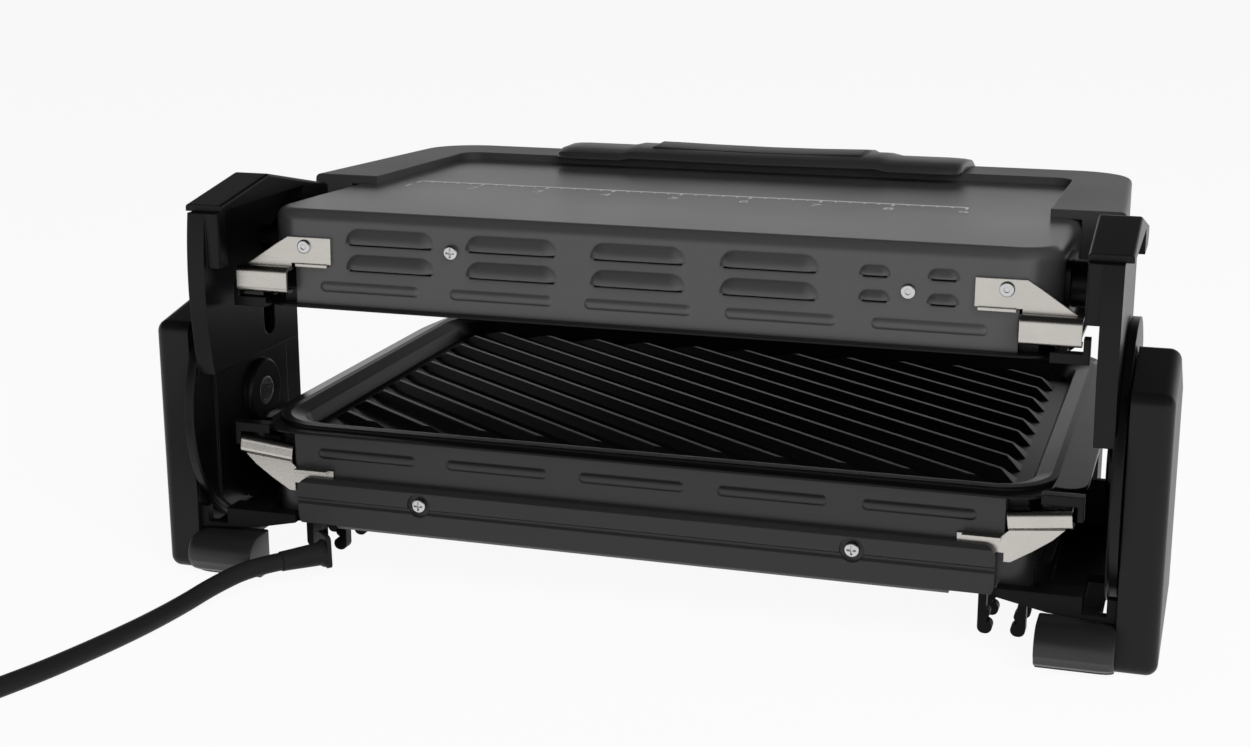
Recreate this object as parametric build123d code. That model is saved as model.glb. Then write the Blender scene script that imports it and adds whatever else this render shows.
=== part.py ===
from build123d import *
import os
from math import atan2, cos, degrees, pi, radians, sin, tan

# Contact grill, built in millimetres.
# +Z is up, -Y is the front where the handle is, +Y is the hinge side, and +X is the user's right.
# The drawing's origin lies on the table, midway between the two cheeks, under the rear wall of the lid.
# The frame's origin is under the middle of the grill without its cord, so each piece is moved as it is saved.
# At rest the lid is raised off the lower plate and leans a little forward, as its float allows.

os.makedirs("parts", exist_ok=True)

# Driving dimensions
FRAME_SHIFT_Y = 110.0
GRILL_HALF_WIDTH = 203.6
CHEEK_THICKNESS = 15.6
HUB_Y = -31.5
HUB_Z = 67.5
HUB_RADIUS = 56.0
LID_LEAN = 1.84
LEAN_Z = 141.3
LID_REAR_Y = 0.0
LID_FRONT_Y = -216.0
LID_HALF_WIDTH = 160.0
LID_TOP_Z = 153.8
LID_EDGE_Z = 115.3
HOUSING_HALF_WIDTH = 158.0
HOUSING_REAR_Y = 9.0
HOUSING_FRONT_Y = -215.0
PAN_UNDER_Z = 23.5
PAN_TOP_Z = 26.5
PLATE_SEAT_Z = 62.3
SHEET = 1.2
WALL = 2.5
LOUVRE_PITCH = 52.0
CORD_RADIUS = 3.75

# Places that follow from them
CHEEK_INNER_X = GRILL_HALF_WIDTH - CHEEK_THICKNESS
HUB_OUTER_X = CHEEK_INNER_X - 0.7
HUB_INNER_X = 183.5
ARM_OUTER_X = HUB_INNER_X
ARM_INNER_X = 176.0
ARM_TOP_Z = 153.8
TRUNNION_Z = 136.0
TRUNNION_RADIUS = 4.5

def save(name, solid):
    """Writes a piece, moved from the drawing's origin to the frame's origin."""
    moved = Pos(0, FRAME_SHIFT_Y, 0) * solid
    moved.label = name
    export_step(moved, f"parts/{name}.step")


def block(x, y, z):
    """A box between two corners, given as a low and a high value on each axis."""
    size = [abs(axis[1] - axis[0]) for axis in (x, y, z)]
    middle = [(axis[0] + axis[1]) / 2 for axis in (x, y, z)]
    return Pos(*middle) * Box(*size)


def side_slab(outline, x_low, x_high):
    """An outline drawn in Y and Z, given a thickness along X."""
    return extrude(Plane.YZ.offset(x_low) * outline, x_high - x_low)


def rear_slab(outline, y_low, y_high):
    """An outline drawn in X and Z, given a thickness along Y."""
    return extrude(Plane.XZ.offset(-y_high) * outline, y_high - y_low)


def polygon(*points):
    return make_face(Polyline(*points, close=True))


def rod_x(radius, x_low, x_high, y, z):
    return Pos((x_low + x_high) / 2, y, z) * Rot(0, 90, 0) * Cylinder(radius, x_high - x_low)


def rod_y(radius, y_low, y_high, x, z):
    return Pos(x, (y_low + y_high) / 2, z) * Rot(90, 0, 0) * Cylinder(radius, y_high - y_low)


def rod_z(radius, z_low, z_high, x, y):
    return Pos(x, y, (z_low + z_high) / 2) * Cylinder(radius, z_high - z_low)


def rounded_box(half_width, rear_y, front_y, z_low, z_high, radius):
    """A box that is centred on X, with rounded upright edges."""
    outline = RectangleRounded(2 * half_width, rear_y - front_y, radius)
    return extrude(Pos(0, (rear_y + front_y) / 2, z_low) * outline, z_high - z_low)


def other_side(solid):
    return mirror(solid, about=Plane.YZ)


def lean(solid):
    """Turns what was drawn on a level lid forward by the lid's lean."""
    return solid.rotate(Axis((0, 0, LEAN_Z), (1, 0, 0)), LID_LEAN)


def level_place(y, z):
    """Where a point of the leaning lid lies on the level lid."""
    turn = radians(LID_LEAN)
    rise = z - LEAN_Z
    return y * cos(turn) + rise * sin(turn), LEAN_Z - y * sin(turn) + rise * cos(turn)


def capsule_x(radius, half_length, x, y, z):
    """A rod along X with round ends; half_length reaches the middles of the ends."""
    rod = rod_x(radius, x - half_length, x + half_length, y, z)
    ends = [Pos(x + side * half_length, y, z) * Sphere(radius) for side in (-1, 1)]
    return rod + ends


# Outer cheeks: moulded covers with a sloping top whose ridge is over the hub
CHEEK_REAR_Y = 17.0
CHEEK_FRONT_Y = -80.0
CHEEK_CORNER_Z = 106.5
CHEEK_RIDGE_Z = 115.0
CHEEK_FRONT_Z = 90.0
SIDE_PLATE_GAP = 0.15
CHEEK_POSTS = ((4, 20), (4, 92), (-66, 20), (-66, 76))
PAD_INSET_X = (5.0, 9.5)
PAD_PLACES_Y = ((-16, 6), (-72, -50))
PAD_HEIGHT = 1.4
LEG_X = (161.5, 166.3)
LEG_Y = (-208.0, -180.0)
LEG_PAD_X = (162.3, 165.7)
LEG_PAD_Y = (-206.0, -182.0)


def cheek_outline(inset):
    """The cheek seen from the side, drawn in by the inset."""
    corners = Polyline(
        (CHEEK_REAR_Y, 0),
        (CHEEK_REAR_Y, CHEEK_CORNER_Z),
        (HUB_Y + 6, CHEEK_RIDGE_Z),
        (CHEEK_FRONT_Y, CHEEK_FRONT_Z),
        (CHEEK_FRONT_Y, 0),
        close=True,
    )
    outline = fillet(make_face(corners).vertices(), 5)
    if inset:
        outline = offset(outline, -inset)
    return outline


def make_cheek():
    cover = side_slab(cheek_outline(0), CHEEK_INNER_X, GRILL_HALF_WIDTH)
    outer_face = cover.faces().sort_by(Axis.X)[-1]
    cover = fillet(outer_face.edges(), 4.5)
    hollow = side_slab(cheek_outline(WALL), CHEEK_INNER_X - 1, GRILL_HALF_WIDTH - WALL)
    cover -= hollow
    # Screw posts that hold the cover on the side plate of the base frame
    for y, z in CHEEK_POSTS:
        post = rod_x(4, CHEEK_INNER_X + WALL, GRILL_HALF_WIDTH - 1, y, z)
        cover += post
    return cover


def make_foot_pads():
    """Rubber strips for the right cheek, flush with its lower edge."""
    x = (GRILL_HALF_WIDTH - PAD_INSET_X[1], GRILL_HALF_WIDTH - PAD_INSET_X[0])
    return [block(x, y, (0, PAD_HEIGHT)) for y in PAD_PLACES_Y]


pads_right = make_foot_pads()
cheek_right = make_cheek() - pads_right
save("side_cheek_right", cheek_right)
save("side_cheek_left", other_side(cheek_right))
leg_pad = block(LEG_PAD_X, LEG_PAD_Y, (0, PAD_HEIGHT))
all_pads_right = pads_right + [leg_pad]
save("foot_pads", Compound(children=all_pads_right + [other_side(pad) for pad in all_pads_right]))

# Base frame: one moulding with the pan, two side plates with the hub bearings, and two front legs
HUB_PIN_RADIUS = 6.0
HUB_RUNNING_GAP = 0.05
HUB_BOSS_RADIUS = 11.0
HUB_BOSS_X = 196.0
DRAIN_X = -146.0
DRAIN_HOLE_RADIUS = 6.5
DRAIN_Y = -190.0
TRAY_X = (-158.0, -62.0)
TRAY_Y = (-227.0, -130.0)
SHAFT_RADIUS = 3.0
KNOB_X = 112.0
KNOB_Z = 43.0
TRAY_FLANGE = 3.4
TRAY_LIP_Z = (16.8, 18.8)
TRAY_RAIL_Y = (-214, -124)
TRAY_RAILS = (
    ((TRAY_X[0] - 3.4, TRAY_X[0] - 0.2), (TRAY_X[0] - 3.4, TRAY_X[0] + 3)),
    ((TRAY_X[1] + 0.2, TRAY_X[1] + 3.4), (TRAY_X[1] - 3, TRAY_X[1] + 3.4)),
)
BEAM_OUTLINE = ((144, 25.0), (163, 21.0), (188, 19.0), (188, 28.5), (144, 28.5))
BEAM_Y = (4.0, 15.0)
ARM_NOTCH_X = (175.3, 184.2)
ARM_NOTCH_Y = (-16.0, 16.0)
ARM_NOTCH_Z = 21.8
POCKET_WALL_Y = (-78.0, -75.0)
POCKET_WALL_TOP_Z = 46.0
POCKET_WALL_END_X = 181.4
HUB_SLOT_X = 181.8


def make_side_plate():
    plate = side_slab(cheek_outline(WALL + SIDE_PLATE_GAP), CHEEK_INNER_X, CHEEK_INNER_X + WALL)
    plate += rod_x(HUB_BOSS_RADIUS, CHEEK_INNER_X, HUB_BOSS_X, HUB_Y, HUB_Z)
    bore = rod_x(HUB_PIN_RADIUS + HUB_RUNNING_GAP, CHEEK_INNER_X - 1, HUB_BOSS_X + 1, HUB_Y, HUB_Z)
    return plate - bore


def make_base_frame():
    side_plate = make_side_plate()
    wide_y = (POCKET_WALL_Y[0], HOUSING_REAR_Y - 1)
    pan = block((-CHEEK_INNER_X, CHEEK_INNER_X), wide_y, (PAN_UNDER_Z, PAN_TOP_Z))
    pan += block((-160, 160), (HOUSING_FRONT_Y, POCKET_WALL_Y[1]), (PAN_UNDER_Z, PAN_TOP_Z))
    rim = rounded_box(162, HOUSING_REAR_Y - 3, HOUSING_FRONT_Y - 2, PAN_UNDER_Z, 34, 14)
    rim -= rounded_box(HOUSING_HALF_WIDTH + 0.2, HOUSING_REAR_Y, HOUSING_FRONT_Y - 0.2, PAN_TOP_Z, 35, 12)
    pan += rim
    for side in (-1, 1):
        # A rear beam and the wall of the arm's pocket tie the side plate to the pan
        beam = polygon(*[(side * x, z) for x, z in BEAM_OUTLINE])
        room_x = (-HOUSING_HALF_WIDTH - 0.4, HOUSING_HALF_WIDTH + 0.4)
        housing_room = block(room_x, (0, HOUSING_REAR_Y + 0.4), (PAN_TOP_Z, 40))
        pan += rear_slab(beam, *BEAM_Y) - housing_room
        # The hub disc dips through a slot at each end of the pan, and the open arm rests in a notch
        slot_x = sorted((side * HUB_SLOT_X, side * CHEEK_INNER_X))
        pan -= block(slot_x, (-74, 11), (PAN_UNDER_Z - 10, PAN_TOP_Z + 4))
        notch_x = sorted((side * ARM_NOTCH_X[0], side * ARM_NOTCH_X[1]))
        pan -= block(notch_x, ARM_NOTCH_Y, (ARM_NOTCH_Z, PAN_TOP_Z + 4))
        wall_x = sorted((side * (HOUSING_HALF_WIDTH + 0.4), side * POCKET_WALL_END_X))
        pan += block(wall_x, POCKET_WALL_Y, (PAN_UNDER_Z, POCKET_WALL_TOP_Z))
        # A flat leg under each front corner
        leg_x = sorted((side * LEG_X[0], side * LEG_X[1]))
        leg = block(leg_x, LEG_Y, (0, 33))
        pan += leg
        pan += block(sorted((side * 158.4, side * LEG_X[1])), LEG_Y, (PAN_UNDER_Z, PAN_TOP_Z))
    for wall_x, lip_x in TRAY_RAILS:
        # Two rails with an inward lip carry the drip tray
        pan += block(wall_x, TRAY_RAIL_Y, (TRAY_LIP_Z[0], PAN_UNDER_Z + 0.5))
        pan += block(lip_x, TRAY_RAIL_Y, TRAY_LIP_Z)
    pan -= rod_z(DRAIN_HOLE_RADIUS, PAN_UNDER_Z - 1, PAN_TOP_Z + 1, DRAIN_X, DRAIN_Y)
    pan -= leg_pad
    pan -= other_side(leg_pad)
    return pan + side_plate + other_side(side_plate)


save("base_frame", make_base_frame())

# Drip tray: slides forward out of the two rails under the pan
TRAY_FLOOR_Z = 8.5
TRAY_FLANGE_Z = (19.0, 21.0)


def make_drip_tray():
    body_x = (TRAY_X[0] + TRAY_FLANGE, TRAY_X[1] - TRAY_FLANGE)
    body_y = (TRAY_Y[0] + 3, TRAY_Y[1])
    tray = block(body_x, body_y, (TRAY_FLOOR_Z, TRAY_FLANGE_Z[1]))
    tray = fillet(tray.edges().filter_by(Axis.Z), 6)
    tray += block(TRAY_X, body_y, TRAY_FLANGE_Z)
    face = block(TRAY_X, (TRAY_Y[0], TRAY_Y[0] + 3), (TRAY_FLOOR_Z, TRAY_FLANGE_Z[1] + 1))
    tray += fillet(face.edges().filter_by(Axis.Y), 3)
    well_x = (body_x[0] + 2, body_x[1] - 2)
    well = block(well_x, (body_y[0] + 1, body_y[1] - 2), (TRAY_FLOOR_Z + 2, TRAY_FLANGE_Z[1] + 1))
    return tray - fillet(well.edges().filter_by(Axis.Z), 5)


save("drip_tray", make_drip_tray())

# Rear feet: half-round bars that reach inward behind the base
FOOT_X = (159.5, CHEEK_INNER_X)
FOOT_AXIS_Y = 18.8
FOOT_AXIS_Z = 10.2
FOOT_RADIUS = 8.4
FOOT_FLANGE = 1.2
FOOT_CREASE_Z = 8.0
FOOT_ROOT_Y = 9.0


def make_rear_foot():
    bar = rod_x(FOOT_RADIUS, *FOOT_X, FOOT_AXIS_Y, FOOT_AXIS_Z)
    flange = rod_x(FOOT_RADIUS + FOOT_FLANGE, FOOT_X[1] - 7, FOOT_X[1], FOOT_AXIS_Y, FOOT_AXIS_Z)
    flange = fillet(flange.edges().sort_by(Axis.X)[0], 1.1)
    foot = (bar + flange) & block((FOOT_X[0] - 1, FOOT_X[1]), (FOOT_AXIS_Y - 0.5, 40), (0, 40))
    # Below a crease the foot goes straight down to the table
    heel_y = (FOOT_ROOT_Y, FOOT_AXIS_Y + FOOT_RADIUS - 0.6)
    foot += block((FOOT_X[0] + 0.6, FOOT_X[1]), heel_y, (0, FOOT_CREASE_Z))
    foot += block((FOOT_X[0] + 3, FOOT_X[1]), (FOOT_ROOT_Y, FOOT_AXIS_Y), (FOOT_CREASE_Z - 1, 18.0))
    return foot


rear_foot_right = make_rear_foot()
save("rear_foot_right", rear_foot_right)
save("rear_foot_left", other_side(rear_foot_right))

# Lower housing: painted sheet metal box with embossed beads on its rear wall
BEAD_HEIGHT = 4.4
BEAD_PROUD = 0.9
BEAD_SPANS = ((-135, -91.5), (-78.3, -34.9), (-21.7, 21.7), (34.9, 78.3), (91.5, 135))
LOWER_BEAD_Z = 54.3
NOTCH_X = 145.5
BAR_SCREW_X = 89.0
BAR_SCREW_Z = 37.2


def make_beads(wall_y, z):
    """Low stadium-shaped swellings that stand out of a rear wall."""
    reach = BEAD_HEIGHT / 2
    radius = (reach ** 2 + BEAD_PROUD ** 2) / (2 * BEAD_PROUD)
    beads = []
    for low, high in BEAD_SPANS:
        half = (high - low) / 2 - reach
        bead = capsule_x(radius, half, (low + high) / 2, wall_y - radius + BEAD_PROUD, z)
        beads.append(bead & block((low - 1, high + 1), (wall_y - SHEET / 2, wall_y + 3), (z - 5, z + 5)))
    return beads


def make_lower_housing():
    body = rounded_box(HOUSING_HALF_WIDTH, HOUSING_REAR_Y, HOUSING_FRONT_Y, PAN_TOP_Z, PLATE_SEAT_Z, 12)
    inside = rounded_box(
        HOUSING_HALF_WIDTH - SHEET, HOUSING_REAR_Y - SHEET, HOUSING_FRONT_Y + SHEET,
        PAN_TOP_Z + SHEET, PLATE_SEAT_Z + 1, 10.8,
    )
    body -= inside
    body += make_beads(HOUSING_REAR_Y, LOWER_BEAD_Z)
    for side in (-1, 1):
        notch_x = sorted((side * NOTCH_X, side * 170))
        body -= block(notch_x, (-4, 12), (45, PLATE_SEAT_Z + 1))
        body -= rod_y(1.5, 0, 12, side * BAR_SCREW_X, BAR_SCREW_Z)
    body -= rod_z(DRAIN_HOLE_RADIUS, PAN_TOP_Z - 1, PAN_TOP_Z + 2, DRAIN_X, DRAIN_Y)
    body -= rod_y(5, HOUSING_FRONT_Y - 1, HOUSING_FRONT_Y + 2, KNOB_X, KNOB_Z)
    return body


save("lower_housing", make_lower_housing())

# Rear bar: a plastic cover across the housing, held by two screws
BAR_HALF_WIDTH = 143.0
BAR_Z = (23.5, 44.3)
BAR_GROOVE_Z = 34.7
BAR_REAR_Y = 13.5
BAR_SCREW_RECESS = 4.9


def make_rear_bar():
    outline = polygon(
        (HOUSING_REAR_Y, BAR_Z[0]), (BAR_REAR_Y - 1.5, BAR_Z[0]), (BAR_REAR_Y, BAR_Z[0] + 1.5),
        (BAR_REAR_Y, BAR_GROOVE_Z - 1.4), (BAR_REAR_Y - 0.9, BAR_GROOVE_Z - 0.4),
        (BAR_REAR_Y - 0.9, BAR_GROOVE_Z + 0.6), (BAR_REAR_Y + 0.3, BAR_GROOVE_Z + 1.4),
        (BAR_REAR_Y + 0.3, BAR_Z[1] - 1.8), (BAR_REAR_Y - 1.4, BAR_Z[1]), (HOUSING_REAR_Y, BAR_Z[1]),
    )
    bar = side_slab(outline, -BAR_HALF_WIDTH, BAR_HALF_WIDTH)
    ends = rear_slab(Pos(0, (BAR_Z[0] + BAR_Z[1]) / 2) * RectangleRounded(2 * BAR_HALF_WIDTH, 20.8, 5), 0, 20)
    bar &= ends
    # Hollow behind, open at the ends of the lower edge where the pan beam passes
    hollow_x = (-BAR_HALF_WIDTH + 2, BAR_HALF_WIDTH - 2)
    bar -= block(hollow_x, (0, BAR_REAR_Y - 2.6), (BAR_Z[0] + 2, BAR_Z[1] - 2))
    for side in (-1, 1):
        bar += rod_y(8, HOUSING_REAR_Y, BAR_REAR_Y - 2, side * BAR_SCREW_X, BAR_SCREW_Z - 1.2)
        bar -= rod_y(BAR_SCREW_RECESS, BAR_REAR_Y - 1.6, BAR_REAR_Y + 1, side * BAR_SCREW_X, BAR_SCREW_Z)
        bar -= rod_y(1.9, 0, BAR_REAR_Y, side * BAR_SCREW_X, BAR_SCREW_Z)
        low, high = sorted((side * 126, side * 150))
        bar -= block((low, high), (0, 20), (BAR_Z[0] - 1, BAR_Z[0] + 1.6))
        # Room for the foot of the plate bracket behind the bar's upper edge
        low, high = sorted((side * 127.5, side * 150))
        bar -= block((low, high), (0, HOUSING_REAR_Y + 1.5), (40.5, BAR_Z[1] + 1))
    return bar


def make_screw(head_radius, head_height, shank_radius, shank_length):
    """A pan-head screw that points down, its head's underside at zero."""
    head = Pos(0, 0, head_height / 2) * Cylinder(head_radius, head_height)
    head = fillet(head.edges().sort_by(Axis.Z)[-1], head_height * 0.55)
    arm = Box(head_radius * 1.2, head_radius * 0.26, head_height)
    cross = Pos(0, 0, head_height) * (arm + Rot(0, 0, 90) * arm)
    shank = Pos(0, 0, -shank_length / 2) * Cylinder(shank_radius, shank_length)
    return head - cross + shank


def on_rear_wall(solid, x, y, z):
    """Stands a fastener that was drawn along Z on a wall that faces +Y."""
    return Pos(x, y, z) * Rot(-90, 0, 0) * solid


save("rear_bar", make_rear_bar())
bar_screw = make_screw(3.05, 2.0, 1.5, 4.2)
bar_screws = [
    on_rear_wall(bar_screw, side * BAR_SCREW_X, BAR_REAR_Y - 1.6, BAR_SCREW_Z) for side in (-1, 1)
]
save("rear_bar_screws", Compound(children=bar_screws))

# Grill plates: ribbed castings with a drain margin, used as drawn below and turned over above
RIB_PITCH_X = 25.3
RIB_PITCH_Y = 18.3
RIB_HEIGHT = 3.6
RIB_FOOT = 7.8
RIB_CREST = 1.9
RIB_END_TAPER = 60
RIB_FIELD_X = (-146.0, 147.5)
RIB_FIELD_Y = (-196.0, -13.0)
PLATE_FLOOR_Z = 57.4
PLATE_RIM_Z = (PLATE_SEAT_Z, PLATE_SEAT_Z + 2.2)
PLATE_UNDER_Z = 50.0
PLATE_HALF_WIDTH = 163.0
PLATE_REAR_Y = 11.0
PLATE_FRONT_Y = -219.0
LIP_INSET = 5.5
MOUTH_INSET = 10.5
MOUTH_HALF_WIDTH = 159.3
MOUTH_SLOPE = 6.0
LOWER_SKIRT_HALF_WIDTH = 173.0
UPPER_SKIRT_HALF_WIDTH = 166.0
SKIRT_OUTLINE = ((158.3, 62.3), (162.0, 64.5), (173.0, 60.6), (173.0, 59.0), (164.0, 62.3))
SPOUT_RADIUS = 5.2
LOWER_LUG_END_X = 173.6
UPPER_LUG_END_X = 172.2
HEATER_RADIUS = 3.25


def make_ribs():
    """Parallel bars across the field, whose ends slope down to the floor."""
    angle = -degrees(atan2(RIB_PITCH_Y, RIB_PITCH_X))
    middle_x = sum(RIB_FIELD_X) / 2
    middle_y = sum(RIB_FIELD_Y) / 2
    profile = polygon(
        (-RIB_FOOT / 2, -0.6), (RIB_FOOT / 2, -0.6), (RIB_CREST / 2, RIB_HEIGHT), (-RIB_CREST / 2, RIB_HEIGHT)
    )
    bar = side_slab(profile, -190, 190)
    count = 12
    bars = []
    for index in range(-count, count):
        shift = (index + 0.5) * RIB_PITCH_X
        bars.append(Pos(middle_x + shift, middle_y, PLATE_FLOOR_Z) * Rot(0, 0, angle) * bar)
    width = RIB_FIELD_X[1] - RIB_FIELD_X[0]
    depth = RIB_FIELD_Y[1] - RIB_FIELD_Y[0]
    base = Pos(middle_x, middle_y, PLATE_FLOOR_Z - 0.5) * RectangleRounded(width, depth, 4)
    field = extrude(base, RIB_HEIGHT + 1.5, taper=RIB_END_TAPER)
    return [piece for one in bars for piece in (one & field).solids()]


def make_grill_plate(shorter, lug_shift, lug_end_x, skirt_half_width):
    """A plate whose rear edge and lugs may stand further forward than the lower plate's."""
    rear_y = PLATE_REAR_Y - shorter
    body = rounded_box(156, rear_y - 5.5, -213, PLATE_UNDER_Z, PLATE_SEAT_Z + 0.5, 9)
    for side in (-1, 1):
        # Room for the ends of the brackets
        corner_x = sorted((side * 145.9, side * 160))
        body -= block(corner_x, (rear_y - 7.9, rear_y), (PLATE_UNDER_Z - 1, PLATE_SEAT_Z))
    body += rounded_box(PLATE_HALF_WIDTH, rear_y, PLATE_FRONT_Y, PLATE_RIM_Z[0], PLATE_RIM_Z[0] + 1, 16)
    # The lip: a rounded crest round the mouth, with a sloping skirt on both sides
    crest = rounded_box(162.5, rear_y - LIP_INSET, PLATE_FRONT_Y + 4, *PLATE_RIM_Z, 24)
    body += fillet(crest.faces().sort_by(Axis.Z)[-1].edges(), 0.8)
    skirts = rounded_box(skirt_half_width, rear_y - 7, PLATE_FRONT_Y + 8, PLATE_UNDER_Z, 70, 28)
    for side in (-1, 1):
        slope = polygon(*[(side * x, z) for x, z in SKIRT_OUTLINE])
        body += skirts & rear_slab(slope, PLATE_FRONT_Y, rear_y)
    middle_y = (rear_y + PLATE_FRONT_Y) / 2
    mouth_depth = rear_y - PLATE_FRONT_Y - 2 * MOUTH_INSET
    mouth = RectangleRounded(2 * MOUTH_HALF_WIDTH, mouth_depth, 21)
    step_z = PLATE_RIM_Z[1] - 1.7
    step_taper = degrees(atan2(MOUTH_SLOPE, PLATE_RIM_Z[1] - step_z))
    body -= extrude(Pos(0, middle_y, PLATE_RIM_Z[1]) * mouth, step_z - PLATE_RIM_Z[1], taper=step_taper)
    basin = RectangleRounded(2 * (MOUTH_HALF_WIDTH - MOUTH_SLOPE), mouth_depth - 2 * MOUTH_SLOPE, 15)
    body -= extrude(Pos(0, middle_y, step_z) * basin, PLATE_FLOOR_Z - step_z, taper=25)
    body += make_ribs()
    body -= rounded_box(147, rear_y - 20, -199, PLATE_UNDER_Z - 1, PLATE_FLOOR_Z - 3.6, 8)
    lug_y = (2.5 - lug_shift, 7.5 - lug_shift)
    for side in (-1, 1):
        # A lug at each rear corner lies in the bracket and hooks past its end
        body += block(sorted((side * 158, side * lug_end_x)), lug_y, (60.2, PLATE_RIM_Z[1] - 0.4))
        body += block(sorted((side * (lug_end_x - 2.4), side * lug_end_x)), lug_y, (54.5, 61))
        # A latch tongue near each front corner
        tongue_x = sorted((side * 96, side * 112))
        tongue_y = (PLATE_FRONT_Y - 2.5, PLATE_FRONT_Y + 1)
        body += block(tongue_x, tongue_y, (PLATE_RIM_Z[0], PLATE_RIM_Z[1] - 0.4))
    return body


lower_plate = make_grill_plate(0, 0, LOWER_LUG_END_X, LOWER_SKIRT_HALF_WIDTH)
lower_plate += rod_z(SPOUT_RADIUS, 22.5, PLATE_FLOOR_Z - 1, DRAIN_X, DRAIN_Y)
lower_plate -= rod_z(SPOUT_RADIUS - 1.8, 20, PLATE_RIM_Z[1], DRAIN_X, DRAIN_Y)
save("lower_plate", lower_plate)

# Plate brackets: folded strips of plated steel, the lower ones on the housing, the upper on the lid
BRACKET_STEEL = 1.4
CHANNEL_INNER_X = 146.8
LOWER_CHANNEL_END_X = 170.4
UPPER_CHANNEL_END_X = 169.3
CHANNEL_DEPTH = 7.0
LOWER_CHANNEL_Z = 49.2
LOWER_CHANNEL_HEIGHT = 7.9
LOWER_CHANNEL_TILT = 6.0
UPPER_CHANNEL_Z = 119.8
UPPER_CHANNEL_HEIGHT = 10.8
UPPER_FLAT_X = (129.7, 147.6)
UPPER_FLAT_Z = (132.0, 142.8)
RIVET_X = 141.3
RIVET_Z = 139.0


def make_channel(end_x, rear_y, low_z, height):
    """A strip folded to a channel that is open towards the front, with a rounded back."""
    front_y = rear_y - CHANNEL_DEPTH
    channel_x = (CHANNEL_INNER_X, end_x)
    outside = block(channel_x, (front_y, rear_y), (low_z, low_z + height))
    back = outside.edges().filter_by(Axis.X).group_by(Axis.Y)[-1]
    outside = fillet(back, 2.6)
    inside = block(
        (channel_x[0] - 1, end_x + 1), (front_y - 1, rear_y - BRACKET_STEEL),
        (low_z + BRACKET_STEEL, low_z + height - BRACKET_STEEL),
    )
    bend = inside.edges().filter_by(Axis.X).group_by(Axis.Y)[-1]
    return outside - fillet(bend, 1.2)


def make_lower_bracket():
    rear_y = HOUSING_REAR_Y + BRACKET_STEEL
    bracket = make_channel(LOWER_CHANNEL_END_X, rear_y, LOWER_CHANNEL_Z, LOWER_CHANNEL_HEIGHT)
    # The channel rises a little towards its outer end
    pivot = Axis((CHANNEL_INNER_X, 0, LOWER_CHANNEL_Z), (0, -1, 0))
    bracket = bracket.rotate(pivot, LOWER_CHANNEL_TILT)
    gusset = polygon(
        (128, 41), (145.5, 41), (145.5, 37.5), (148, 37.5), (156, 42.5), (163, 47.5),
        (167.5, LOWER_CHANNEL_Z + 2.8), (147.2, LOWER_CHANNEL_Z + 0.8), (144.5, 47.4), (128, 47.4),
    )
    bracket += rear_slab(gusset, HOUSING_REAR_Y, rear_y)
    # The folded lip that shows above the end of the rear bar
    bracket += block((130, 144.5), (HOUSING_REAR_Y, HOUSING_REAR_Y + 4.2), (46.2, 47.6))
    return bracket


def make_upper_bracket():
    rear_y = LID_REAR_Y + CHANNEL_DEPTH + 0.4
    bracket = make_channel(UPPER_CHANNEL_END_X, rear_y, UPPER_CHANNEL_Z, UPPER_CHANNEL_HEIGHT)
    channel_top = UPPER_CHANNEL_Z + UPPER_CHANNEL_HEIGHT
    flat = block(UPPER_FLAT_X, (LID_REAR_Y, LID_REAR_Y + BRACKET_STEEL), UPPER_FLAT_Z)
    strut = polygon(
        (144, UPPER_FLAT_Z[1]), (148.6, UPPER_FLAT_Z[1]), (153.5, 139.8), (165.8, 131.6),
        (168.8, channel_top - 1), (147.2, channel_top - 1), (147.2, UPPER_FLAT_Z[0]),
    )
    bracket += flat
    bracket += rear_slab(strut, LID_REAR_Y, LID_REAR_Y + BRACKET_STEEL)
    shelf_x = (CHANNEL_INNER_X, UPPER_CHANNEL_END_X)
    shelf = block(shelf_x, (LID_REAR_Y, LID_REAR_Y + 4), (channel_top - BRACKET_STEEL, channel_top))
    # The folded lip along the foot of the flat
    lip = block((131, 145), (LID_REAR_Y, LID_REAR_Y + 2.6), (UPPER_FLAT_Z[0] - 1.2, UPPER_FLAT_Z[0]))
    bracket += shelf
    bracket += lip
    return bracket - rod_y(1.6, -1, 3, RIVET_X, RIVET_Z)


lower_bracket_right = make_lower_bracket()
save("lower_bracket_right", lower_bracket_right)
save("lower_bracket_left", other_side(lower_bracket_right))
upper_bracket_right = make_upper_bracket()
save("upper_bracket_right", lean(upper_bracket_right))
save("upper_bracket_left", lean(other_side(upper_bracket_right)))

# Heaters: a tube bent to a loop that lies against the underside of each plate
HEATER_Z = PLATE_FLOOR_Z - 3.6 - HEATER_RADIUS
HEATER_REFLECTOR_Z = 38.0
REFLECTOR_HALF_WIDTH = 139.5


def make_heater():
    route = FilletPolyline(
        (20, -40, HEATER_Z), (20, -20, HEATER_Z), (132, -20, HEATER_Z), (132, -185, HEATER_Z),
        (-124, -185, HEATER_Z), (-124, -20, HEATER_Z), (-20, -20, HEATER_Z), (-20, -40, HEATER_Z),
        radius=14,
    )
    start = Plane(origin=route @ 0, z_dir=route % 0)
    return sweep(start * Circle(HEATER_RADIUS), path=route)


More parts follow.
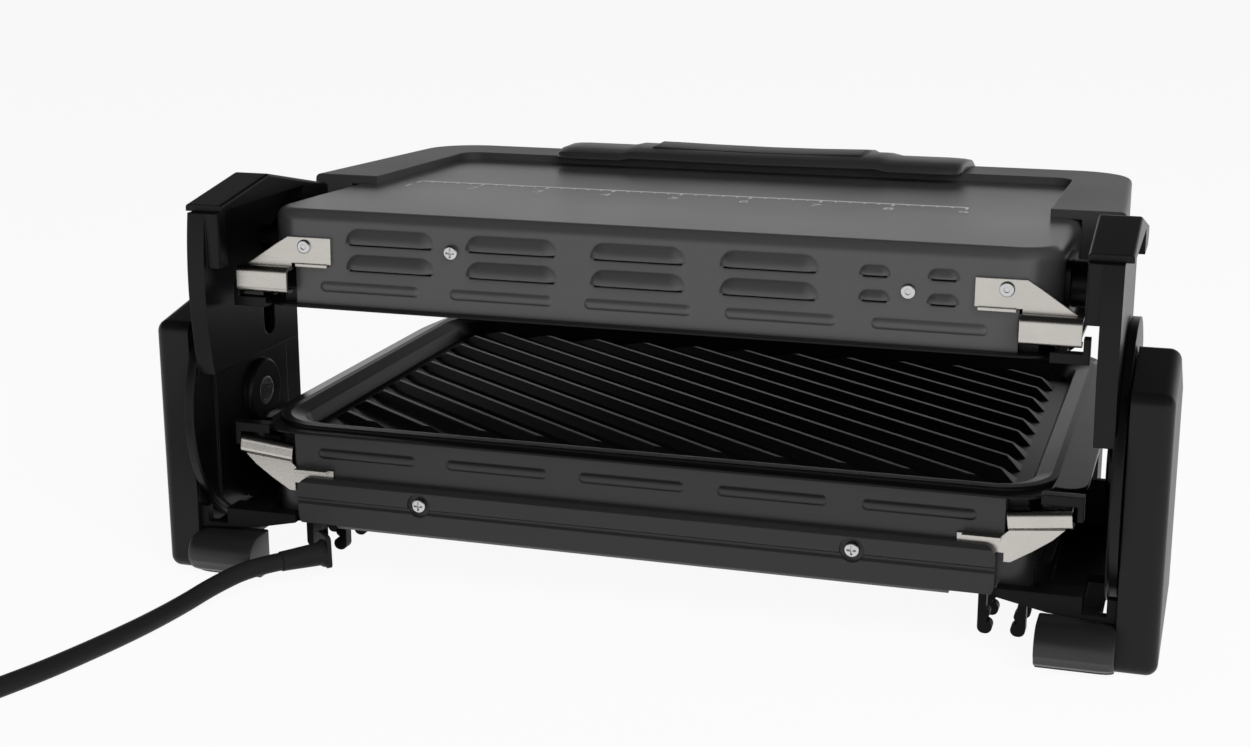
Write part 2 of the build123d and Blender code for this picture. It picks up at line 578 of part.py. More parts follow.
def make_reflector(foot_z):
    """A shallow tray on four feet, with saddles that carry the heater tube."""
    tray = rounded_box(REFLECTOR_HALF_WIDTH, -6, -194, HEATER_REFLECTOR_Z, HEATER_REFLECTOR_Z + 7, 8)
    inner_half = REFLECTOR_HALF_WIDTH - SHEET
    tray -= rounded_box(inner_half, -6 - SHEET, -194 + SHEET, HEATER_REFLECTOR_Z + SHEET, 60, 7)
    for x, y in ((20, -36), (-20, -36), (132, -100), (-124, -100), (0, -185)):
        tray += rod_z(3, HEATER_REFLECTOR_Z, HEATER_Z - HEATER_RADIUS, x, y)
    for x in (-100, 100):
        for y in (-60, -150):
            tray += rod_z(5, foot_z, HEATER_REFLECTOR_Z + 0.5, x, y)
    return tray


lower_heater = make_heater()
save("lower_heater", lower_heater)
save("lower_reflector", make_reflector(PAN_TOP_Z + SHEET))

# Thermostat and terminal block, between the housing floor and the reflector
SHAFT_CLEAR = 0.06
PANEL_Y = (-226.0, -217.0)
KNOB_RADIUS = 17.0
KNOB_LENGTH = 16.0


def make_thermostat():
    body = block((KNOB_X - 14, KNOB_X + 14), (-213.5, -198), (PAN_TOP_Z + SHEET, 49))
    body = fillet(body.edges().filter_by(Axis.Y), 2)
    body -= rod_y(SHAFT_RADIUS + SHAFT_CLEAR, -214, -203, KNOB_X, KNOB_Z)
    return body


save("thermostat", make_thermostat())
terminal_block = block((60, 100), (-30, -16), (PAN_TOP_Z + SHEET, 37))
for index in range(4):
    terminal_block -= rod_z(2, 33, 38, 65 + index * 10, -23)
save("terminal_block", terminal_block)

# Front panel with the knob, pilot lamps and the lower release button
RELEASE_X = (-128.0, -98.0)
RELEASE_Z = (47.0, 57.0)
RELEASE_TRAVEL = 3.0
BUTTON_GAP = 0.4
LAMP_PLACES = ((66, 47), (66, 38))
LAMP_RADIUS = 2.6
PANEL_HALF_WIDTH = 162.0
PANEL_Z = (24.0, 61.0)


def make_front_panel():
    panel = block((-PANEL_HALF_WIDTH, PANEL_HALF_WIDTH), PANEL_Y, PANEL_Z)
    panel = fillet(panel.edges().filter_by(Axis.Z).group_by(Axis.Y)[0], 7)
    panel = fillet(panel.edges().filter_by(Axis.X).group_by(Axis.Y)[0], 2.5)
    hollow = block(
        (-PANEL_HALF_WIDTH + 8, PANEL_HALF_WIDTH - 8), (PANEL_Y[0] + WALL, PANEL_Y[1] + 1),
        (PANEL_Z[0] + 11, PANEL_Z[1] - WALL),
    )
    panel -= hollow
    panel += rod_y(7, PANEL_Y[0] + 1, PANEL_Y[1], KNOB_X, KNOB_Z)
    panel -= rod_y(SHAFT_RADIUS + SHAFT_CLEAR, PANEL_Y[0] - 1, PANEL_Y[1] + 1, KNOB_X, KNOB_Z)
    for x, z in LAMP_PLACES:
        panel -= rod_y(LAMP_RADIUS, PANEL_Y[0] - 1, PANEL_Y[1] + 1, x, z)
    window_x = (RELEASE_X[0] - BUTTON_GAP, RELEASE_X[1] + BUTTON_GAP)
    window_z = (RELEASE_Z[0] - BUTTON_GAP, RELEASE_Z[1] + BUTTON_GAP)
    panel -= block(window_x, (PANEL_Y[0] - 1, PANEL_Y[1] + 1), window_z)
    return panel


def make_release_button(front_y, rear_y, x, z):
    """A push button with a rounded face."""
    button = block(x, (front_y, rear_y), z)
    button = fillet(button.edges().filter_by(Axis.Y), 1.5)
    button = fillet(button.faces().sort_by(Axis.Y)[0].edges(), 0.8)
    return button


save("front_panel", make_front_panel())
lower_button = make_release_button(PANEL_Y[0] - 4.5, PANEL_Y[1] - RELEASE_TRAVEL - 0.5, RELEASE_X, RELEASE_Z)
save("lower_release_button", lower_button)
lamps = []
for x, z in LAMP_PLACES:
    lens = rod_y(LAMP_RADIUS, PANEL_Y[0] - 0.4, PANEL_Y[0] + 5, x, z)
    lamps.append(fillet(lens.edges().sort_by(Axis.Y)[0], 0.3))
save("pilot_lamps", Compound(children=lamps))


def make_knob():
    """A knurled cap with a pointer ridge, on its own steel-grey shaft."""
    front_y = PANEL_Y[0] - 1 - KNOB_LENGTH
    cap = rod_y(KNOB_RADIUS, front_y, PANEL_Y[0] - 1, KNOB_X, KNOB_Z)
    cap = fillet(cap.edges().sort_by(Axis.Y)[0], 2)
    for index in range(16):
        turn = 2 * pi * (index + 0.5) / 16
        groove_x = KNOB_X + (KNOB_RADIUS + 1.2) * cos(turn)
        groove_z = KNOB_Z + (KNOB_RADIUS + 1.2) * sin(turn)
        cap -= rod_y(2, front_y - 1, PANEL_Y[0] - 4, groove_x, groove_z)
    cap += block((KNOB_X - 1.5, KNOB_X + 1.5), (front_y - 1.6, front_y + 1), (KNOB_Z, KNOB_Z + 15))
    return cap + rod_y(SHAFT_RADIUS, PANEL_Y[0] - 1.5, -204, KNOB_X, KNOB_Z)


save("thermostat_knob", make_knob())

# Cord outlet under the pan, with a flat flange and a slim strain relief
OUTLET_PLAN = ((131.4, 10.2), (137.6, 4.4), (144.0, -1.0), (137.4, -1.0))
OUTLET_LOW_Z = 5.6
EXIT = Vector(133.3, 8.6, 11.0)
EXIT_HEADING = Vector(0.678, 0.731, -0.02).normalized()
FLANGE_SIZE = (12.0, 14.0, 1.8)
FLANGE_RISE = 1.6
RELIEF_LENGTH = 20.0
RELIEF_ROOT_RADIUS = 4.9
RELIEF_TIP_RADIUS = 4.15


def make_cord_outlet():
    plan = Pos(0, 0, OUTLET_LOW_Z) * polygon(*OUTLET_PLAN)
    return extrude(plan, PAN_UNDER_Z - OUTLET_LOW_Z)


def make_strain_relief():
    """A tapered sleeve behind an upright rectangular flange."""
    outline = polygon(
        (0, 0), (RELIEF_ROOT_RADIUS + 0.9, 0), (RELIEF_ROOT_RADIUS + 0.9, 2.2), (RELIEF_ROOT_RADIUS, 3.4),
        (RELIEF_TIP_RADIUS + 0.1, RELIEF_LENGTH - 3), (RELIEF_TIP_RADIUS, RELIEF_LENGTH), (0, RELIEF_LENGTH),
    )
    sleeve = revolve(Plane.XZ * outline, Axis.Z)
    across = Vector(0, 0, 1).cross(EXIT_HEADING)
    facing = Plane(origin=EXIT, x_dir=across, z_dir=EXIT_HEADING)
    flange = extrude(RectangleRounded(FLANGE_SIZE[0], FLANGE_SIZE[1], 2), FLANGE_SIZE[2])
    return facing * (Pos(0, FLANGE_RISE, 0) * flange + sleeve)


save("cord_outlet", make_cord_outlet())
save("strain_relief", make_strain_relief())

# Cord clips: pairs of prongs under the pan whose bulb ends face each other
CLIP_GAP = 6.9
CLIP_STEM = 3.1
CLIP_SPACE = 12.1
CLIP_BULB_RADIUS = 2.6
CLIP_WAIST = 5.4


def make_clip_pair(middle_x, low_z, y_low, y_high):
    pair = []
    for side in (-1, 1):
        near = middle_x + side * CLIP_SPACE / 2
        far = near + side * CLIP_STEM
        stem = block(sorted((near, far)), (y_low, y_high), (low_z + CLIP_BULB_RADIUS, PAN_UNDER_Z))
        bulb_x = middle_x + side * (CLIP_GAP / 2 + CLIP_BULB_RADIUS)
        bulb_z = low_z + CLIP_BULB_RADIUS
        stem += rod_y(CLIP_BULB_RADIUS, y_low, y_high, bulb_x, bulb_z)
        stem += rod_y(CLIP_BULB_RADIUS, y_low, y_high, far - side * CLIP_BULB_RADIUS, bulb_z)
        stem += rod_y(CLIP_BULB_RADIUS - 0.5, y_low, y_high, bulb_x + side * 0.6, bulb_z + CLIP_WAIST)
        pair.append(stem)
    return pair


CLIP_ROWS = ((-9, -4), (-29, -24))
CLIP_PLACES = (("cord_clips_left", -144.4, 2.6), ("cord_clips_right", 139.4, 8.0))
for clip_name, clip_x, clip_low_z in CLIP_PLACES:
    prongs = []
    for row in CLIP_ROWS:
        prongs += make_clip_pair(clip_x, clip_low_z, *row)
    save(clip_name, Compound(children=prongs))

# Lifting arms: hollow uprights, each on a round hub disc that turns on a steel pin in the side plate
ARM_TOP_REAR_Y = 19.5
ARM_BULGE = (21.8, 117.0)
ARM_FOOT_REAR_Y = 17.5
ARM_FRONT_Y = -57.5
ARM_FOOT_Z = 86.5
ARM_WEB = 2.0
HUB_FRONT_Y = -72.0
HUB_BARREL_RADIUS = 14.0
HUB_BARREL_X = 179.0
HUB_PAD_X = 182.3
HUB_PAD_Y = (-57.5, 6.0)
HUB_PAD_RADIUS = 53.0
BLOCK_HALF_DEPTH = 11.0
BLOCK_HALF_HEIGHT = 9.0
BLOCK_GAP = 0.1
SLOT_HALF_WIDTH = 5.0
LID_TRAVEL = 38.0
LUG_X = 170.6
LUG_Z = 131.5
LUG_Y = (12.0, 19.4)
EVERYWHERE = (-300, 300)


def arm_outline():
    """The arm seen from the side, with a slightly bulging rear edge."""
    top = (ARM_TOP_REAR_Y, ARM_TOP_Z)
    foot = (ARM_FOOT_REAR_Y, ARM_FOOT_Z)
    rear_edge = ThreePointArc(top, ARM_BULGE, foot)
    rest = Polyline(foot, (ARM_FRONT_Y, ARM_FOOT_Z), (ARM_FRONT_Y, ARM_TOP_Z), top)
    return make_face(rear_edge + rest)


def make_hub():
    """The disc with a straight front edge, the raised pad on it and the barrel round the pin."""
    disc = rod_x(HUB_RADIUS, HUB_INNER_X, HUB_OUTER_X, HUB_Y, HUB_Z)
    disc = chamfer(disc.edges().sort_by(Axis.X)[0], 0.8)
    pad = rod_x(HUB_PAD_RADIUS, HUB_PAD_X, HUB_INNER_X + 1, HUB_Y, HUB_Z)
    pad &= block(EVERYWHERE, HUB_PAD_Y, (0, ARM_FOOT_Z + 1))
    barrel = rod_x(HUB_BARREL_RADIUS, HUB_BARREL_X, HUB_INNER_X + 1, HUB_Y, HUB_Z)
    barrel = chamfer(barrel.edges().sort_by(Axis.X)[0], 1)
    hub = disc + pad + barrel
    return hub & block(EVERYWHERE, (HUB_FRONT_Y, 100), (0, 200))


def make_arm():
    arm = side_slab(arm_outline(), ARM_INNER_X, ARM_OUTER_X)
    arm += make_hub()
    inside = side_slab(offset(arm_outline(), -ARM_WEB), ARM_INNER_X + ARM_WEB, ARM_OUTER_X - ARM_WEB)
    # The slide block's track stays closed by two walls between the hollows in front of it and behind it
    track_half = BLOCK_HALF_DEPTH + BLOCK_GAP
    wall_half = track_half + ARM_WEB
    arm -= inside & block(EVERYWHERE, (HUB_Y + wall_half, 100), (0, 200))
    arm -= inside & block(EVERYWHERE, (-100, HUB_Y - wall_half), (0, 200))
    track_low = TRUNNION_Z - LID_TRAVEL - BLOCK_HALF_HEIGHT - 0.5
    track_y = (HUB_Y - track_half, HUB_Y + track_half)
    arm -= block((ARM_INNER_X + ARM_WEB, ARM_OUTER_X - ARM_WEB), track_y, (track_low, ARM_TOP_Z + 1))
    # The slot for the block's neck
    slot_low = TRUNNION_Z - LID_TRAVEL
    slot_x = (ARM_INNER_X - 1, ARM_INNER_X + ARM_WEB + 1)
    slot = block(slot_x, (HUB_Y - SLOT_HALF_WIDTH, HUB_Y + SLOT_HALF_WIDTH), (slot_low, TRUNNION_Z))
    for slot_end_z in (slot_low, TRUNNION_Z):
        slot += rod_x(SLOT_HALF_WIDTH, *slot_x, HUB_Y, slot_end_z)
    arm -= slot
    lug = block((LUG_X, ARM_INNER_X + 1), LUG_Y, (LUG_Z, ARM_TOP_Z))
    lug_corner = lug.edges().filter_by(Axis.Z).sort_by(lambda edge: edge.center().Y - edge.center().X)[-1]
    arm += fillet(lug_corner, 2)
    return arm - rod_x(HUB_PIN_RADIUS, HUB_BARREL_X - 1, HUB_OUTER_X + 1, HUB_Y, HUB_Z)


arm_right = make_arm()
save("arm_right", arm_right)
save("arm_left", other_side(arm_right))

CLIP_RING_X = (HUB_BOSS_X + 0.1, HUB_BOSS_X + 1.1)
hub_pin = rod_x(HUB_PIN_RADIUS, HUB_BARREL_X, HUB_BOSS_X + 2.4, HUB_Y, HUB_Z)
hub_pin = chamfer(hub_pin.edges().sort_by(Axis.X)[-1], 0.6)
clip_ring = rod_x(HUB_PIN_RADIUS + 3, *CLIP_RING_X, HUB_Y, HUB_Z)
hub_pin -= clip_ring
hub_pin += rod_x(HUB_PIN_RADIUS - 1, *CLIP_RING_X, HUB_Y, HUB_Z)
clip_ring -= hub_pin
clip_ring -= block(CLIP_RING_X, (HUB_Y - 3, HUB_Y + 3), (HUB_Z - 12, HUB_Z))
save("hub_pin_right", hub_pin)
save("hub_pin_left", other_side(hub_pin))
save("hub_clips", Compound(children=[clip_ring, other_side(clip_ring)]))

# Arm caps: gable covers on top of the arms
CAP_X = (170.3, 186.4)
CAP_RIDGE = (-26.0, 163.6)
CAP_REAR = (15.5, 156.6)
CAP_FRONT = (-81.0, 151.4)
CAP_NOSE_Z = 143.5


def make_arm_cap():
    """A gable whose nose hangs down in front of the arm."""
    outline = polygon(
        (CAP_REAR[0], ARM_TOP_Z), CAP_REAR, CAP_RIDGE, CAP_FRONT, (CAP_FRONT[0], CAP_NOSE_Z + 3),
        (CAP_FRONT[0] + 3, CAP_NOSE_Z), (ARM_FRONT_Y, CAP_NOSE_Z), (ARM_FRONT_Y, ARM_TOP_Z),
    )
    cap = side_slab(outline, *CAP_X)
    ridge = cap.edges().filter_by(Axis.X).sort_by(Axis.Z)[-1]
    cap = fillet(ridge, 5)
    sides = (cap.faces().sort_by(Axis.X)[0], cap.faces().sort_by(Axis.X)[-1])
    top_edges = [
        edge for face in sides for edge in face.edges()
        if edge.center().Z > ARM_TOP_Z + 3.5 and abs(edge.center().Y - CAP_REAR[0]) > 1
        and abs(edge.center().Y - CAP_FRONT[0]) > 1
    ]
    return fillet(top_edges, 1.2)


cap_right = make_arm_cap()
save("arm_cap_right", cap_right)
save("arm_cap_left", other_side(cap_right))

# Slide blocks: run up and down in the arms and carry the lid on round trunnions
TRUNNION_X = 161.5


def make_slide_block():
    block_x = (ARM_INNER_X + ARM_WEB + BLOCK_GAP, ARM_OUTER_X - ARM_WEB - BLOCK_GAP)
    block_y = (HUB_Y - BLOCK_HALF_DEPTH, HUB_Y + BLOCK_HALF_DEPTH)
    slide = block(block_x, block_y, (TRUNNION_Z - BLOCK_HALF_HEIGHT, TRUNNION_Z + BLOCK_HALF_HEIGHT))
    slide = fillet(slide.edges().filter_by(Axis.X), 2)
    slide += rod_x(SLOT_HALF_WIDTH - 0.1, 170.2, block_x[0] + 1, HUB_Y, TRUNNION_Z)
    slide += rod_x(TRUNNION_RADIUS, TRUNNION_X, 171, HUB_Y, TRUNNION_Z)
    return slide


slide_right = make_slide_block()
save("slide_block_right", slide_right)
save("slide_block_left", other_side(slide_right))

# Lid shell: painted sheet metal with hooded louvres and beads on its rear wall
LOUVRE_HALF_LENGTH = 19.35
LOUVRE_HEIGHT = 6.0
LOUVRE_PROUD = 3.0
LOUVRE_ROWS = (141.3, 130.8)
LOUVRE_COLUMNS = (-LOUVRE_PITCH, 0, LOUVRE_PITCH, 2 * LOUVRE_PITCH)
SHORT_LOUVRE_X = (-118.0, -92.4)
SHORT_LOUVRE_HALF_LENGTH = 6.0
SHORT_LOUVRE_ROWS = (141.3, 131.9)
SHORT_LOUVRE_HEIGHT = 3.6
SHORT_LOUVRE_PROUD = 2.2
LID_BEAD_Z = 122.9
LID_SCREW = (77.4, 140.0)
LID_RIVET = (-105.0, 135.7)


def louvre_places():
    """Middle X, lower edge Z, half length, height and reach of each louvre."""
    for z in LOUVRE_ROWS:
        for x in LOUVRE_COLUMNS:
            yield x, z, LOUVRE_HALF_LENGTH, LOUVRE_HEIGHT, LOUVRE_PROUD
    for z in SHORT_LOUVRE_ROWS:
        for x in SHORT_LOUVRE_X:
            yield x, z, SHORT_LOUVRE_HALF_LENGTH, SHORT_LOUVRE_HEIGHT, SHORT_LOUVRE_PROUD


def louvre_capsule(place, thinner):
    """The round-ended rod whose upper quarter is the hood of one louvre."""
    x, z, half_length, height, proud = place
    radius = (height ** 2 + proud ** 2) / (2 * proud)
    return capsule_x(radius - thinner, half_length - height, x, LID_REAR_Y - radius + proud, z)


def make_lid_shell():
    shell = rounded_box(LID_HALF_WIDTH, LID_REAR_Y, LID_FRONT_Y, LID_EDGE_Z, LID_TOP_Z, 16)
    shell = fillet(shell.faces().sort_by(Axis.Z)[-1].edges(), 5)
    inner_rear, inner_front = LID_REAR_Y - SHEET, LID_FRONT_Y + SHEET
    inner = rounded_box(
        LID_HALF_WIDTH - SHEET, inner_rear, inner_front, LID_EDGE_Z - 1, LID_TOP_Z - SHEET, 14.8
    )
    shell -= fillet(inner.faces().sort_by(Axis.Z)[-1].edges(), 3.8)
    places = list(louvre_places())
    hoods = []
    for place in places:
        x, z, half_length, height, proud = place
        room = block((x - half_length - 1, x + half_length + 1), (LID_REAR_Y - SHEET / 2, 9), (z, z + 9))
        hoods.append(louvre_capsule(place, 0) & room)
    shell += hoods
    shell += make_beads(LID_REAR_Y, LID_BEAD_Z)
    slots = []
    for place in places:
        x, z, half_length, height, proud = place
        room = block((x - half_length - 1, x + half_length + 1), (-9, 9), (z - 1, z + 9))
        slots.append(louvre_capsule(place, SHEET) & room)
    shell -= slots
    for side in (-1, 1):
        notch_x = sorted((side * 146, side * 170))
        shell -= block(notch_x, (-12, 4), (LID_EDGE_Z - 1, 131.5))
        shell -= rod_y(1.6, -5, 5, side * RIVET_X, RIVET_Z)
    shell -= rod_y(1.6, -5, 5, *LID_SCREW)
    shell -= rod_y(1.6, -5, 5, *LID_RIVET)
    return shell


lid_shell = make_lid_shell()
save("lid_shell", lean(lid_shell))

# Lid fasteners: blind rivets on the brackets and the wall, one pan-head screw
RIVET_HEAD_RADIUS = 2.9


def make_rivet(grip):
    """A dome-head blind rivet with a dimple, its head's underside at zero."""
    head = Pos(0, 0, 0.6) * Cylinder(RIVET_HEAD_RADIUS, 1.2)
    head = fillet(head.edges().sort_by(Axis.Z)[-1], 0.8)
    head -= Pos(0, 0, 1.2) * Cylinder(1.1, 0.9)
    return head + Pos(0, 0, -grip / 2) * Cylinder(1.5, grip)


rivets = [
    on_rear_wall(make_rivet(BRACKET_STEEL + 2.4), side * RIVET_X, LID_REAR_Y + BRACKET_STEEL, RIVET_Z)
    for side in (-1, 1)
]
rivets.append(on_rear_wall(make_rivet(2.4), LID_RIVET[0], LID_REAR_Y, LID_RIVET[1]))
save("lid_rivets", lean(Compound(children=rivets)))
lid_screw = on_rear_wall(make_screw(3.05, 2.0, 1.5, 6), LID_SCREW[0], LID_REAR_Y, LID_SCREW[1])
save("lid_screw", lean(lid_screw))

# Lid hinge plates: bolted to the sides of the shell, they hold the trunnions of the slide blocks
TRUNNION_GAP = 0.06
HINGE_BOSS_RADIUS = 9.0
HINGE_BOSS_X = 169.4


def make_hinge_plate():
    hinge_y, hinge_z = level_place(HUB_Y, TRUNNION_Z)
    plate_x = (LID_HALF_WIDTH, LID_HALF_WIDTH + 2)
    plate = block(plate_x, (hinge_y - 20, hinge_y + 12), (hinge_z - 13, hinge_z + 10))
    plate = fillet(plate.edges().filter_by(Axis.X), 5)
    plate += rod_x(HINGE_BOSS_RADIUS, LID_HALF_WIDTH, HINGE_BOSS_X, hinge_y, hinge_z)
    return plate - rod_x(TRUNNION_RADIUS + TRUNNION_GAP, LID_HALF_WIDTH + 1.2, 175, hinge_y, hinge_z)


hinge_plate_right = make_hinge_plate()
save("lid_hinge_plate_right", lean(hinge_plate_right))
save("lid_hinge_plate_left", lean(other_side(hinge_plate_right)))

# Lid rail: a plastic frame round the sides and front of the lid
RAIL_HALF_WIDTH = 177.5
RAIL_FRONT_HALF_WIDTH = 171.5
RAIL_REAR_Y = -84.0
RAIL_FRONT_Y = -223.0
RAIL_TOP_Z = 157.6
RAIL_SKIRT_Z = 118.0
RAIL_INNER_X = 147.5
RAIL_INNER_Y = -190.0
UPPER_RELEASE_X = (-15.0, 15.0)
UPPER_RELEASE_Z = (123.0, 132.0)


def rail_plan(inset, low_z, high_z):
    """The rail seen from above: it narrows towards the front and has round front corners."""
    rear_x = RAIL_HALF_WIDTH - inset
    front_x = RAIL_FRONT_HALF_WIDTH - inset
    front_y = RAIL_FRONT_Y + inset
    plan = polygon(
        (-rear_x, RAIL_REAR_Y + 40), (-rear_x, RAIL_REAR_Y), (-front_x, front_y), (front_x, front_y),
        (rear_x, RAIL_REAR_Y), (rear_x, RAIL_REAR_Y + 40),
    )
    plan = fillet(plan.vertices().group_by(Axis.Y)[0], 27 - inset)
    return extrude(Pos(0, 0, low_z) * plan, high_z - low_z)


def make_lid_rail():
    rail = rail_plan(0, RAIL_SKIRT_Z, RAIL_TOP_Z)
    rail = fillet(rail.faces().sort_by(Axis.Z)[-1].edges(), 2.4)
    rail -= block((-200, 200), (RAIL_REAR_Y, 60), (100, 200))
    rail -= rail_plan(WALL, 100, LID_TOP_Z) & block((-200, 200), (-300, RAIL_REAR_Y - WALL), (100, LID_TOP_Z))
    rail -= rounded_box(LID_HALF_WIDTH, 0, LID_FRONT_Y, 100, LID_TOP_Z, 16)
    rail -= rounded_box(RAIL_INNER_X, 40, RAIL_INNER_Y, LID_TOP_Z - 1, 200, 9)
    window_x = (UPPER_RELEASE_X[0] - BUTTON_GAP, UPPER_RELEASE_X[1] + BUTTON_GAP)
    window_z = (UPPER_RELEASE_Z[0] - BUTTON_GAP, UPPER_RELEASE_Z[1] + BUTTON_GAP)
    rail -= block(window_x, (RAIL_FRONT_Y - 1, LID_FRONT_Y - 0.1), window_z)
    return rail


save("lid_rail", lean(make_lid_rail()))
upper_button_y = (RAIL_FRONT_Y - 4, LID_FRONT_Y - RELEASE_TRAVEL - 0.3)
upper_button = make_release_button(*upper_button_y, UPPER_RELEASE_X, UPPER_RELEASE_Z)
save("upper_release_button", lean(upper_button))

# Handle: a wide grip across the front of the lid, with a raised middle and a thin pad on it
HANDLE_HALF_WIDTH = 95.0
HANDLE_Y = (-243.0, -176.0)
GRIP_HALF_WIDTH = 66.0
GRIP_Y = (-248.0, -186.0)
GRIP_TOP_Z = 167.0
PAD_HALF_WIDTH = 56.0
PAD_TOP_Z = 169.0


def make_handle():
    outline = polygon(
        (HANDLE_Y[1], RAIL_TOP_Z), (HANDLE_Y[1] - 3, 162.6), (-206, 163.4), (-232, 160.5),
        (HANDLE_Y[0], 154), (HANDLE_Y[0] + 2, 149), (-232, 147), (RAIL_FRONT_Y, 150),
        (RAIL_FRONT_Y, RAIL_TOP_Z - 2.6), (-200, RAIL_TOP_Z),
    )
    wings = side_slab(outline, -HANDLE_HALF_WIDTH, HANDLE_HALF_WIDTH)
    round_ends = rounded_box(HANDLE_HALF_WIDTH, HANDLE_Y[1] + 0.01, HANDLE_Y[0] - 0.01, 140, 180, 9)
    wings &= round_ends
    grip_line = polygon(
        (GRIP_Y[1], 160), (GRIP_Y[1] - 2, 165.4), (-205, GRIP_TOP_Z), (-228, 165.4), (GRIP_Y[0], 157),
        (GRIP_Y[0] + 2, 146), (-236, 144), (-227, 148), (-210, 160),
    )
    grip = side_slab(grip_line, -GRIP_HALF_WIDTH, GRIP_HALF_WIDTH)
    grip &= rounded_box(GRIP_HALF_WIDTH, GRIP_Y[1] + 0.01, GRIP_Y[0] - 0.01, 140, 180, 8)
    return wings + grip - block((-200, 200), (RAIL_FRONT_Y, 0), (100, RAIL_TOP_Z))


handle = make_handle()
save("handle", lean(handle))
pad_line = polygon(
    (-190, 165.4), (-191, 168.2), (-206, PAD_TOP_Z), (-227, 167.6), (-229, 164.4), (-228, 163.4), (-206, 165)
)
handle_pad = side_slab(pad_line, -PAD_HALF_WIDTH, PAD_HALF_WIDTH)
handle_pad &= rounded_box(PAD_HALF_WIDTH, -189.9, -229.1, 150, 180, 5)
save("handle_pad", lean(handle_pad - handle))

# Upper plate, heater and reflector: made like the lower ones, then turned over about the depth axis
UPPER_PLATE_SHORTER = 7.0
UPPER_LUG_SHIFT = 3.0
TURNED_SUM_Z = PLATE_SEAT_Z + LID_EDGE_Z


def turn_over(solid):
    """Moves a piece of the base to the same place under the lid, its other side up."""
    turned = solid.rotate(Axis((0, 0, 0), (0, 1, 0)), 180)
    return Pos(0, 0, TURNED_SUM_Z) * turned


upper_plate = make_grill_plate(UPPER_PLATE_SHORTER, UPPER_LUG_SHIFT, UPPER_LUG_END_X, UPPER_SKIRT_HALF_WIDTH)
save("upper_plate", lean(turn_over(upper_plate)))
save("upper_heater", lean(turn_over(lower_heater)))
upper_reflector = make_reflector(TURNED_SUM_Z - LID_TOP_Z + SHEET)
save("upper_reflector", lean(turn_over(upper_reflector)))

# Mains cord: it leaves the strain relief, drops to the table and runs to a coil behind the grill
CORD_LOW_Z = CORD_RADIUS + 0.05
CORD_START = EXIT + EXIT_HEADING * RELIEF_LENGTH
CORD_STRAIGHT = 13.0
COIL_START = Vector(202, 200, CORD_LOW_Z)
CORD_ROUTE = [
    CORD_START,
    CORD_START + EXIT_HEADING * CORD_STRAIGHT,
    Vector(164.6, 47.6, 7.0),
    Vector(169.6, 64.5, 4.2),
    Vector(173.2, 87, CORD_LOW_Z),
    Vector(178.2, 111, CORD_LOW_Z),
    Vector(185.2, 138, CORD_LOW_Z),
    Vector(194, 162, CORD_LOW_Z),
    Vector(202, 184, CORD_LOW_Z),
    COIL_START,
]


def corner_radii(route):
    """The largest radius that the two runs beside each corner allow."""
    radii = []
    for before, corner, after in zip(route, route[1:], route[2:]):
        run_in = corner - before
        run_out = after - corner
        half_turn = radians(run_in.get_angle(run_out)) / 2
        radii.append(0.45 * min(run_in.length, run_out.length) / tan(half_turn))
    return radii


def tube_along(path):
    start = Plane(origin=path @ 0, z_dir=path % 0)
    return sweep(start * Circle(CORD_RADIUS), path=path)


cord_radii = corner_radii(CORD_ROUTE)
print("cord radii", [round(radius, 1) for radius in cord_radii])
cord_path = FilletPolyline(*CORD_ROUTE, radius=cord_radii)
power_cord = tube_along(cord_path)
section = pi * CORD_RADIUS ** 2
cord_ratio = power_cord.volume / section / cord_path.length
print("cord length", round(cord_path.length, 1), "volume ratio", round(cord_ratio, 4))
save("power_cord", power_cord)

# Coil: two and a half turns; it spirals in on the table, climbs a layer, and spirals out again
COIL_STRAIGHT = 8.0
COIL_TAIL = 26.0
COIL_PITCH = 8.4
COIL_LAYER = 8.0
COIL_INNER_RADIUS = 35.8
COIL_HALF_TURNS = (2, 1, 0, 1, 2)


def half_turn(start, side, radius, rise):
    """Half a turn from the start to the far side; a rise tilts its plane."""
    end = start + Vector(side * 2 * radius, 0, rise)
    tilted_radius = (end - start).length / 2
    crown = (start + end) * 0.5 + Vector(0, side * tilted_radius, 0)
    return ThreePointArc(start, crown, end)


def make_coil_path():
    point = COIL_START + Vector(0, COIL_STRAIGHT, 0)
    pieces = [Line(COIL_START, point)]
    side = 1
    for step in COIL_HALF_TURNS:
        radius = COIL_INNER_RADIUS + step * COIL_PITCH / 2
        rise = COIL_LAYER if step == 0 else 0
        arc = half_turn(point, side, radius, rise)
        pieces.append(arc)
        point = arc @ 1
        side = -side
    pieces.append(Line(point, point - Vector(0, COIL_TAIL, 0)))
    return pieces


def least_gap(pieces, samples):
    """The smallest free space between parts of the path that lie over half a turn apart."""
    lengths = [piece.length for piece in pieces]
    points = []
    for index, piece in enumerate(pieces):
        travelled = sum(lengths[:index])
        for step in range(samples):
            share = step / samples
            points.append((travelled + share * piece.length, piece @ share))
    half_turn = pi * COIL_INNER_RADIUS
    pairs = [(one[1], two[1]) for one in points for two in points if two[0] - one[0] > half_turn]
    return min((one - two).length for one, two in pairs) - 2 * CORD_RADIUS


coil_pieces = make_coil_path()
coil_path = Wire([piece.edges()[0] for piece in coil_pieces])
cord_coil = tube_along(coil_path)
coil_ratio = cord_coil.volume / section / coil_path.length
print("coil length", round(coil_path.length, 1), "volume ratio", round(coil_ratio, 4))
print("coil least gap", round(least_gap(coil_pieces, 40), 3))
save("cord_coil", cord_coil)

